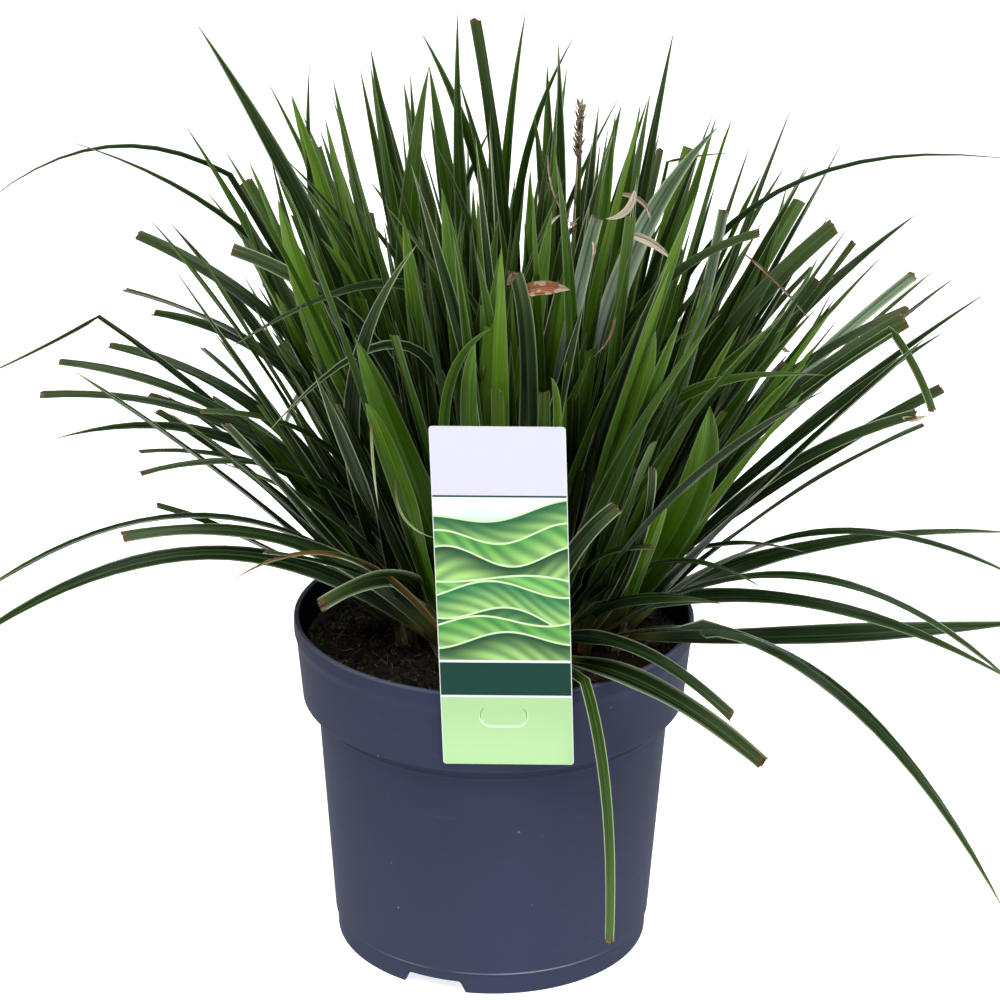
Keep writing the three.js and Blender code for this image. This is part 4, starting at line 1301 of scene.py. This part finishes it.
# Scraps that hang on the leaves: kind, width, start, a point on the way, the tip
scraps = [
    ("rust", 6.4, (12, -62, 345), (23, -62, 347), (33, -62, 346)),
    ("tan", 0.8, (6, -20, 395), (19, -20, 372), (29, -20, 358)),
    ("tan", 1.5, (12, -30, 370), (19, -30, 372), (25, -30, 377)),
    ("paper", 3.2, (53, -40, 384), (51, -42, 374), (44, -42, 372)),
    ("paper", 3.8, (70, -40, 361), (76, -41, 358), (83, -42, 352)),
    ("brown", 3.0, (9, -60, 355), (7, -62, 352), (5, -60, 348)),
    ("brown", 1.1, (56, -60, 332), (51, -60, 320), (44, -60, 312)),
    ("tan", 1.8, (46, -45, 364), (45, -45, 359), (44, -45, 353)),
    ("sprig", 1.2, (-56, -85, 291), (-54, -85, 265), (-52, -85, 248)),
    ("sprig", 1.1, (-52, -88, 249), (-42, -88, 235), (-29, -88, 228)),
    ("tan", 2.2, (73, -20, 377), (76, -20, 371), (78, -20, 364)),
    ("brown", 1.4, (109, 10, 342), (126, 10, 328), (145, 10, 306)),
    ("paper", 2.6, (184, -45, 284), (189, -45, 282), (195, -45, 284)),
    ("tan", 1.8, (21, -30, 375), (26, -30, 370), (30, -30, 374)),
]

scrapLooks = {
    "rust": {"tone": 0.12},
    "brown": {"tone": 0.4, "margin": 0.8},
    "tan": {"tone": 0.5},
    "paper": {"tone": 1.0},
    "sprig": {"tone": 1.0, "margin": 1.0, "dead": 0},
}


leafColours = {
    # from bluish leaves to young yellow-green ones; the palest stops give the sheen leaves their silvery
    # colour, partly as a painted sheen
    "greens": [
        (0.0, srgb(172, 190, 172)),
        (0.1, srgb(94, 114, 90)),
        (0.2, srgb(29, 50, 22)),
        (0.38, srgb(27, 45, 12)),
        (0.66, srgb(40, 66, 7)),
        (0.9, srgb(56, 88, 8)),
        (1.0, srgb(80, 114, 22)),
    ],
    "darkStripe": srgb(38, 58, 40),
    "paleStripeAndSheen": srgb(102, 130, 86),
    "rim": srgb(186, 200, 164),
    "tipBloomAndHighlight": srgb(134, 152, 104),
    "midrib": srgb(98, 124, 70),
    "darkMidrib": srgb(50, 78, 42),
    "nearRoot": srgb(134, 140, 74),
    "root": srgb(84, 54, 32),
    "dryEnd": (srgb(58, 40, 28), srgb(158, 136, 104)),
    "dryPatch": srgb(96, 66, 28),
    "burnt": srgb(46, 30, 20),
    "witheredBrown": (srgb(80, 34, 8), srgb(150, 72, 20)),
    "witheredPale": (srgb(132, 118, 92), srgb(214, 208, 190)),
    "sheath": (srgb(44, 28, 18), srgb(112, 80, 48)),
    "sheathTop": srgb(84, 98, 42),
}


def leafGreen():
    colours = leafColours
    paint = Paint("leafGreen")
    across, along, half = paint.carried("leafPlace").parts()
    tone, margin, scorch = paint.carried("leafLook").parts()
    seed, dead, total = paint.carried("leafKind").parts()
    side = abs(across)
    fromEnd = total - along
    fromEdge = (1.0 - side) * half
    share = along / total

    # noise drawn out along the leaf, from a place of its own for each leaf
    def streaks(crossways, shift, lengthways, depth, detail):
        place = paint.along(crossways + seed * shift, along * lengthways, seed * depth)
        return paint.grain(place, 1.0, detail)

    fibre = streaks(across * half * 1.5, 40.0, 0.012, 11.0, 3.0)
    cloud = streaks(across * 0.7, 23.0, 0.016, 37.0, 2.0)
    stripe = streaks(across * 4.2, 71.0, 0.003, 5.0, 1.0)
    strand = streaks(across * half * 5.0, 40.0, 0.05, 11.0, 3.0)
    # painted light and shade: a leaf is painted darker towards its root, as in the clump's shade, lighter
    # towards its end, and lighter along one half, as if lit from that side
    shaded = tone + (cloud - 0.5) * 0.2 + (fibre - 0.5) * 0.12 + (share - 0.6) * 0.2
    green = paint.node("ValToRGB", {"stops": colours["greens"]}, {0: shaded.clear()})
    paintedLitHalf = (across * (seed - 0.5)).rise(-0.02, 0.02)
    fresh = tone.rise(0.6, 0.9)
    paintedRootShade = fresh * 0.46 + 0.36 + share * (0.9 - fresh * 0.55)
    green = green.scaled((0.5 + fibre * 0.7) * paintedRootShade * (0.86 + paintedLitHalf * 0.3))
    bluish = tone.rise(0.16, 0.06)
    green = paint.mix(bluish * stripe.rise(0.52, 0.42) * 0.4, green, colours["darkStripe"])
    # pale stripes, partly the leaf's own streaks and partly a painted sheen
    pale = paint.mix(stripe.rise(0.53, 0.66) * margin * 0.2, green, colours["paleStripeAndSheen"])
    rim = (side.rise(0.72, 0.95) * margin * 0.3).top(fromEdge.rise(0.55, 0.3) * (margin * 0.66 + 0.07))
    wide = margin.rise(0.9, 1.0) * side.rise(0.6, 0.9) * 0.55
    pale = paint.mix(rim.top(wide), pale, colours["rim"])
    # a pale bloom towards the tip, painted partly as a highlight
    pale = paint.mix(share.rise(0.72, 1.0) * fibre * 0.22, pale, colours["tipBloomAndHighlight"])
    pale = paint.mix(side.rise(0.1, 0.0) * 0.22, pale, colours["midrib"])
    pale = paint.mix(side.rise(0.16, 0.06) * bluish * 0.75, pale, colours["darkMidrib"])
    # pale, then brown towards the root
    rooted = paint.mix(along.rise(30.0, 6.0) * 0.7, pale, colours["nearRoot"])
    rooted = paint.mix(along.rise(15.0, 3.0) * 0.85, rooted, colours["root"])
    # scorched ends and dry patches
    ragged = fromEnd + (fibre - 0.5) * 4.0 + (cloud - 0.5) * 4.0
    burnt = ragged.rise(1.5, 0.7) * scorch
    rust = ragged.rise(4.0, 1.4) * scorch
    patch = (cloud + scorch.rise(1.0, 1.6) * 0.26).rise(0.7, 0.76) * scorch.rise(0.5, 0.8)
    colour = paint.mix((rust * 0.45).top(patch * 0.7), rooted, colours["dryPatch"])
    colour = paint.mix(burnt, colour, paint.mix(fibre.rise(0.35, 0.65), *colours["dryEnd"]))
    colour = paint.mix(ragged.rise(1.2, 0.4) * scorch * 0.7, colour, colours["burnt"])
    # withered scraps and husks: brown where the tone is low, papery where it is high
    brown = paint.mix(strand.rise(0.3, 0.7), *colours["witheredBrown"])
    papery = paint.mix(strand.rise(0.3, 0.7), *colours["witheredPale"])
    mottled = paint.grain(paint.object(), 170.0, 2.0).rise(0.53, 0.6)
    withered = paint.mix(tone + mottled * 0.5, brown, papery).scaled(1.0 - margin * 0.6)
    colour = paint.mix(dead, colour, withered)
    veins = (across * half * 8.0).sine() * 0.5 + 0.5
    height = veins * 0.5 + fibre * 0.6
    rough = (0.2 + fibre * 0.14).top(burnt * 0.8).top(dead * 0.75)
    return paint.finish(colour, rough, height, reach=0.0002, gloss=0.1)


def sheathSkin():
    paint = Paint("sheathSkin")
    across, along, half = paint.carried("leafPlace").parts()
    seed = paint.carried("leafKind").parts()[0]
    fibre = paint.grain(paint.along(across * 11.0 + seed * 40.0, along * 0.05, seed), 1.0, 4.0)
    brown = paint.mix(fibre.rise(0.32, 0.68), *leafColours["sheath"])
    colour = paint.mix(along.rise(6.0, 19.0), brown, leafColours["sheathTop"])
    return paint.finish(colour, 0.62, fibre, strength=0.8)


# The stations of a leaf, each with its arc, the place on it and its share of the leaf's length
def stationsOf(blade, count):
    lengths = [(arc[2] - arc[0]).length for arc in blade["arcs"]]
    each = count // len(lengths)
    total, before = sum(lengths), 0
    stations = []
    for k, (arc, length) in enumerate(zip(blade["arcs"], lengths)):
        for i in range(1 if k else 0, each + 1):
            stations.append((arc, i / each, (before + length * i / each) / total))
        before += length
    return stations, total


# One closed thin leaf: its inner face, its back, and the two edges where they meet
def addLeaf(shape, blade, look):
    form = leafForm
    columns = form["columns"]
    chance = random.Random(look["seed"])
    stations, total = stationsOf(blade, look.get("stations", form["stations"]))
    pointed = blade["ending"] == "point"
    if pointed:
        stations.pop()
    phase, waves = chance.uniform(0, 6.28), chance.uniform(2, 4)
    points, placed = [], []
    for arc, t, s in stations:
        point, forward, above, side = bladeFrame(blade, arc, t, s)
        half = widthAt(blade, s, look["late"]) / 2 * look["fuller"]
        slope = blade["skew"] * half if s == 1 else 0
        thin = min(1, half / form["fullHalf"])
        depth = leafRule["keel"] * thin
        ripple = form["wave"] * math.sin(phase + waves * 6.28 * s) * s * thin
        section = []
        for k in range(columns + 1):
            a = -1 + 2 * k / columns
            arch = form["bulge"] * thin * math.sin(math.pi * abs(a))
            lift = depth * (abs(a) - 1) + arch + ripple * a * abs(a) * 0.6
            torn = chance.uniform(-1, 1) * form["ragged"] if s == 1 else 0
            section.append((a, lift, forward * (slope * a + torn)))
        for a, lift, ahead in section[-2:0:-1]:
            thick = between(form["thick"], form["edgeThick"], abs(a)) * max(0.4, thin)
            section.append((a, lift - thick, ahead))
        for a, lift, ahead in section:
            points.append(point + side * half * a + ahead + above * lift)
            placed.append((a, s * total, half))
    size = 2 * columns
    last = len(points) - size
    faces = [list(range(size))] + bands(len(stations), size, inward=True)
    if pointed:
        points.append(arcPoint(blade["arcs"][-1], 1))
        placed.append((0, total, 0.1))
        faces += [[last + i, last + size, last + (i + 1) % size] for i in range(size)]
    else:
        faces.append(list(range(last, last + size))[::-1])
    count = len(points)
    shape.add(
        points, faces, slot=0, leafPlace=placed,
        leafLook=[(look["tone"], look["margin"], look["scorch"])] * count,
        leafKind=[(look["seed"] % 997 / 997, look["dead"], total)] * count,
    )


sheathForm = {
    "sides": 30,
    "rows": 9,
    "inset": (0.5, 0.7),  # how far inside the solid's drum it stays, at its foot and its top
    "groove": 0.14,
    "drawnIn": 0.45,
    "ragged": 1.8,
}


# The brown foot of a stem: old sheaths wrapped round each other, splitting at the top
def addSheath(shape, stem, chance):
    sides, rows = sheathForm["sides"], sheathForm["rows"]
    groove = sheathForm["groove"]
    foot, top = sheathForm["inset"]
    low = stem["foot"] + stem["axis"]
    height = crown["holeDepth"] + stem["length"] + 2
    across = stem["axis"].orthogonal().normalized()
    other = stem["axis"].cross(across)
    points, placed = [], []
    flutes = chance.randint(4, 6)
    phase = chance.uniform(0, 6.28)
    for row in range(rows):
        s = row / (rows - 1)
        girth = between(crown["sheathRadius"] - foot, crown["sheathTopRadius"] - top, s)
        for i in range(sides):
            angle = fullTurn * i / sides
            flute = 0.5 + 0.5 * math.sin(flutes * angle + phase + 1.5 * s)
            radius = girth * (1 - groove + groove * flute) * (1 - sheathForm["drawnIn"] * s ** 5)
            ragged = sheathForm["ragged"] * s ** 4 * math.sin(3 * angle + phase)
            spot = low + stem["axis"] * (s * height + ragged)
            points.append(spot + around(across, other, angle) * radius)
            placed.append((angle, s * height, 1))
    kind = [(stem["number"] / (crown["stems"] + 1), 0, 1)] * len(points)
    look = [(0, 0, 0)] * len(points)
    shape.add(points, tube(rows, sides), slot=1, leafPlace=placed, leafLook=look, leafKind=kind)


# 0 where a leaf stands upright, 1 where it lies level
def flatness(blade):
    reach = blade["arcs"][-1][2] - blade["arcs"][0][0]
    return math.hypot(reach.x, reach.y) / reach.length


def lookOf(blade, chance):
    kind = blade.get("kind")
    flat = flatness(blade)
    if kind is None:
        youth = (1 - blade["age"]) * (1 - 0.5 * flat)
        if flat > 0.6:
            kind = chance.choice(("grown", "grown", "edged"))
        elif chance.random() < 0.1 + 0.75 * youth:
            kind = chance.choice(("young", "fresh"))
        else:
            kind = chance.choice(("grown", "grown", "grown", "edged", "edged", "fresh", "fresh", "fresh"))
    look = {**kinds[kind], "dead": 0}
    old = kind in ("grown", "edged")
    # painted shade: old leaves that lie level are painted darker, as in the shade below the clump
    paintedLyingShade = 0.14 * softStep(flat, 0.4, 0.8) if old else 0
    palest = 0.24 if old else 0.02
    look["tone"] = min(1, max(palest, look["tone"] - paintedLyingShade + chance.uniform(-0.08, 0.08)))
    if old:
        look["margin"] *= chance.uniform(0.35, 1)
    if blade["ending"] == "point" and kind != "streaked":
        look["scorch"] *= chance.random() ** 2
    look["seed"] = chance.randint(1, 10 ** 6)
    return look


def hangsFree(blade):
    spots = [arcPoint(blade["arcs"][0], i / 12) for i in range(1, 13)]
    inAir = any(all(low[k] < spot[k] < high[k] for k in range(3)) for spot in spots for low, high in openAir)
    overSoil = min(spot.z for spot in spots) - soilForm["top"]
    return not inAir and flatness(blade) < innerForm["flattest"] and overSoil > innerForm["overSoil"]


# A leaf drawn in towards its root
def shortened(blade, share):
    root = blade["arcs"][0][0]
    arcs = [tuple(root + (point - root) * share for point in arc) for arc in blade["arcs"]]
    return {**blade, "arcs": arcs}


# Where an added leaf starts and which way it goes
def innerStart(stem, form, chance):
    heading = headingOf(chance.uniform(0, 360))
    spread = math.radians(chance.uniform(*form["spread"]))
    direction = (stem["bearing"] + heading * math.tan(spread)).normalized()
    length = chance.uniform(*form["length"])
    outward = outwardOf(stem, heading)
    root = rootOf(stem, outward, chance.uniform(*form["offset"]))
    return root, outward, direction, length


def fillerBlade(stem, chance):
    root, outward, direction, length = innerStart(stem, fillerForm, chance)
    tip = root + direction * length + Vector((direction.x, direction.y, -0.35)) * length * 0.12
    facing = Vector((-0.3 * direction.x, -0.3 * direction.y - 0.4, 0.7))
    return bladeOf(
        [(root, root + direction * length * 0.5, tip)], facingsOf(outward, facing),
        turn=chance.uniform(-0.6, 0.6), twist=chance.uniform(-0.8, 0.8), skew=chance.uniform(-0.4, 0.4),
        width=chance.uniform(*fillerForm["width"]), kind=chance.choice(("grown", "fresh", "edged")),
    )


def slenderBlade(stem, chance):
    form = slenderForm
    root, outward, direction, length = innerStart(stem, form, chance)
    # most stand straight, some bend over sideways and cross the others
    sway = headingOf(chance.uniform(0, 360)) * length * form["sway"] * chance.random() ** 1.6
    bend = root + direction * length * 0.5 - sway * 0.12
    tip = root + direction * length + Vector((direction.x, direction.y, -0.3)) * length * 0.08 + sway
    tip.z -= sway.length * 0.4
    trimmed = chance.random() < form["trimmed"] and tip.x > form["trimmedBeyond"]
    facing = Vector((chance.uniform(-0.8, 0.8), -1, 0.4))
    blade = bladeOf(
        [(root, bend, tip)], facingsOf(outward, facing), ending="cut" if trimmed else "point",
        turn=chance.uniform(-0.5, 0.5), twist=chance.uniform(-0.8, 0.8),
        width=chance.uniform(*form["width"]),
        kind=chance.choice(("grown", "fresh", "fresh", "young", "edged")),
    )
    return shortened(blade, form["trimmedLength"]) if trimmed else blade


# The leaves that the solids had no room for, and shorter and narrower ones among them
def innerBlades(stem, chance):
    share = innerForm["crowdedLength"]
    inner = [{**shortened(blade, share), "ending": "point"} for blade in stem["crowded"]]
    inner += [fillerBlade(stem, chance) for i in range(fillerForm["count"])]
    tall = [slenderBlade(stem, chance) for i in range(slenderForm["count"])]
    inner += [blade for blade in tall if blade["arcs"][0][2].x < slenderForm["reach"]]
    return [blade for blade in inner if hangsFree(blade)]


# A dry scale at the foot of a stem
def huskBlade(stem, chance):
    outward = outwardOf(stem, headingOf(chance.uniform(0, 360)))
    root = stem["mouth"] + outward * huskForm["offset"] - stem["axis"] * 2
    rise = chance.uniform(*huskForm["rise"])
    middle = root + stem["axis"] * rise * 0.55 + outward * chance.uniform(0, 1.5)
    tip = root + stem["axis"] * rise + outward * chance.uniform(*huskForm["opening"])
    return bladeOf(
        [(root, middle, tip)], facingsOf(outward, -outward),
        twist=chance.uniform(-0.4, 0.4), skew=0.3, width=chance.uniform(*huskForm["width"]),
    )


# A scrap starts on the leaf that passes nearest to its place
def scrapBlade(row, joints):
    kind, width, start, via, tip = row
    root, index, gap = joints["tree"].find(Vector(start))
    shift = (root - Vector(start)) * 0.5
    arc = arcThrough(root, Vector(via) + shift, Vector(tip) + shift)
    facing = Vector((0, -1, 0.3))
    blade = bladeOf([arc], (facing, facing), width, twist=0.5, skew=0.2)
    return joints["stems"][index], blade, scrapLooks[kind]


def spinePoints(stems):
    spots = []
    for stem in stems:
        for blade in stem["blades"]:
            for arc in blade["arcs"]:
                spots.extend((arcPoint(arc, i / 30), stem["number"]) for i in range(6, 31))
    tree = KDTree(len(spots))
    for index, (spot, number) in enumerate(spots):
        tree.insert(spot, index)
    tree.balance()
    return {"tree": tree, "stems": [number for spot, number in spots]}


def addStems():
    finishes = [leafGreen(), sheathSkin()]
    shapes = [Shape() for stem in stems]
    joints = spinePoints(stems)
    dry = {"margin": 0, "scorch": 0, "dead": 1, "fuller": 1, "late": 1.8}
    for number, row in enumerate(scraps):
        owner, blade, look = scrapBlade(row, joints)
        addLeaf(shapes[owner], blade, {**dry, **look, "seed": number + 5, "stations": 10})
    for stem, shape in zip(stems, shapes):
        chance = random.Random(leafForm["seed"] + stem["number"])
        for blade in stem["blades"]:
            addLeaf(shape, blade, lookOf(blade, chance))
        for blade in innerBlades(stem, chance):
            addLeaf(shape, blade, {**lookOf(blade, chance), "stations": innerForm["stations"]})
        for i in range(huskForm["count"]):
            husk = {**dry, "tone": chance.uniform(0, 0.7), "stations": huskForm["stations"]}
            blade = huskBlade(stem, chance)
            addLeaf(shape, blade, {**husk, "seed": chance.randint(1, 9999)})
        addSheath(shape, stem, chance)
        piece = shape.piece(f"leafyStem{stem['number'] + 1:02d}", finishes, sharp=75)
        place(piece, "leaf", stem["node"])
    print("faces in leaves:", sum(len(shape.faces) for shape in shapes))


addStems()
print("stems done")


# The flower spike

spikeForm = {
    "foot": (28, 35),
    "bend": (33, 37, 285),
    "tip": (38, 34, 402),
    "culm": 0.75,  # its radius at the foot
    "headLength": 26,
    "scales": 54,
    "scaleLength": (4.4, 7.4),
    "scaleHalf": (0.8, 1.3),
    "seed": 31,
    "straw": (srgb(76, 58, 45), srgb(180, 160, 134)),
}


# A dry pointed scale with a raised back
def scale(chance, start, axis, outward):
    lean = (axis + outward * chance.uniform(0.25, 0.75)).normalized()
    side = lean.cross(outward).normalized()
    ahead = lean * chance.uniform(*spikeForm["scaleLength"])
    half = chance.uniform(*spikeForm["scaleHalf"])
    broadest = start + ahead * 0.45
    back = start + ahead * 0.4 + outward * 0.25
    points = [start, broadest + side * half, start + ahead, broadest - side * half, back]
    return points, [[0, 3, 2, 1], [0, 1, 4], [1, 2, 4], [2, 3, 4], [3, 0, 4]]


def addSpike():
    form = spikeForm
    chance = random.Random(form["seed"])
    foot = Vector((*form["foot"], soilForm["top"] - crown["holeDepth"]))
    arc = arcThrough(foot, Vector(form["bend"]), Vector(form["tip"]))
    shape = Shape()
    spine = [arcPoint(arc, i / 40) for i in range(41)]
    shape.add(*thread(spine, lambda t: form["culm"] * (1 - 0.35 * t), 8))
    tip, axis = arc[2], arcHeading(arc, 1)
    across = axis.orthogonal().normalized()
    for i in range(form["scales"]):
        below = form["headLength"] * (1 - i / form["scales"])
        outward = around(across, axis.cross(across), math.radians(goldenAngle * i))
        shape.add(*scale(chance, tip - axis * below + outward * 0.4, axis, outward))
    finish = patchy("drySpike", form["straw"], 420, 3.0, (0.3, 0.7), 0.75, 0.0004)
    place(shape.piece("flowerSpike", [finish], sharp=30), "dry_spike", "flower_spike")


addSpike()
print("spike done")


# Floor and light

studio = {
    "floor": 16,  # metres
    "floorColours": (srgb(243, 243, 243), srgb(247, 247, 247)),
    "glow": (0.8, 0.86),  # under the pot, and away from it
    "world": 0.14,
    "aim": (0, 0, 0.22),
    "key": (-1.2, -1.7, 2.9, 1.4, 58),  # place, side of the square, watts
    "fill": (1.5, -1.6, 2.6, 1.4, 62),
    "back": (0.2, 1.2, 2.8, 1.4, 36),
}


def addFloor():
    paint = Paint("paleFloor")
    spot = paint.object()
    x, y, z = spot.parts()
    far = ((x * x + y * y) ** 0.5).rise(0.25, 1.3)
    tint = paint.mix(paint.grain(spot, 3.0), *studio["floorColours"])
    glow = paint.mix(far, *((level, level, level, 1) for level in studio["glow"]))
    pale = paint.finish(tint, 0.9, **{"Emission Color": glow, "Emission Strength": 1.0})
    half = studio["floor"] / 2 / mm
    corners = ((-half, -half), (half, -half), (half, half), (-half, half))
    shape = Shape()
    shape.add([Vector((x, y, 0)) for x, y in corners], [[0, 1, 2, 3]])
    floor = shape.piece("studioFloor", [pale])


def addLights():
    for name in ("key", "fill", "back"):
        x, y, z, side, watts = studio[name]
        data = bpy.data.lights.new(name + "Light", "AREA")
        data.energy = watts
        data.size = side
        lamp = inScene(name + "Light", data)
        lamp.location = (x, y, z)
        lamp.rotation_mode = "QUATERNION"
        lamp.rotation_quaternion = (Vector(studio["aim"]) - lamp.location).to_track_quat("-Z", "Y")
        lamp.visible_camera = False
    world = bpy.data.worlds.new("studioWorld")
    world.use_nodes = True
    background = world.node_tree.nodes["Background"]
    background.inputs["Color"].default_value = (1, 1, 1, 1)
    background.inputs["Strength"].default_value = studio["world"]
    bpy.context.scene.world = world
    bpy.context.scene.view_settings.view_transform = "Standard"


addFloor()
addLights()
print("studio done")
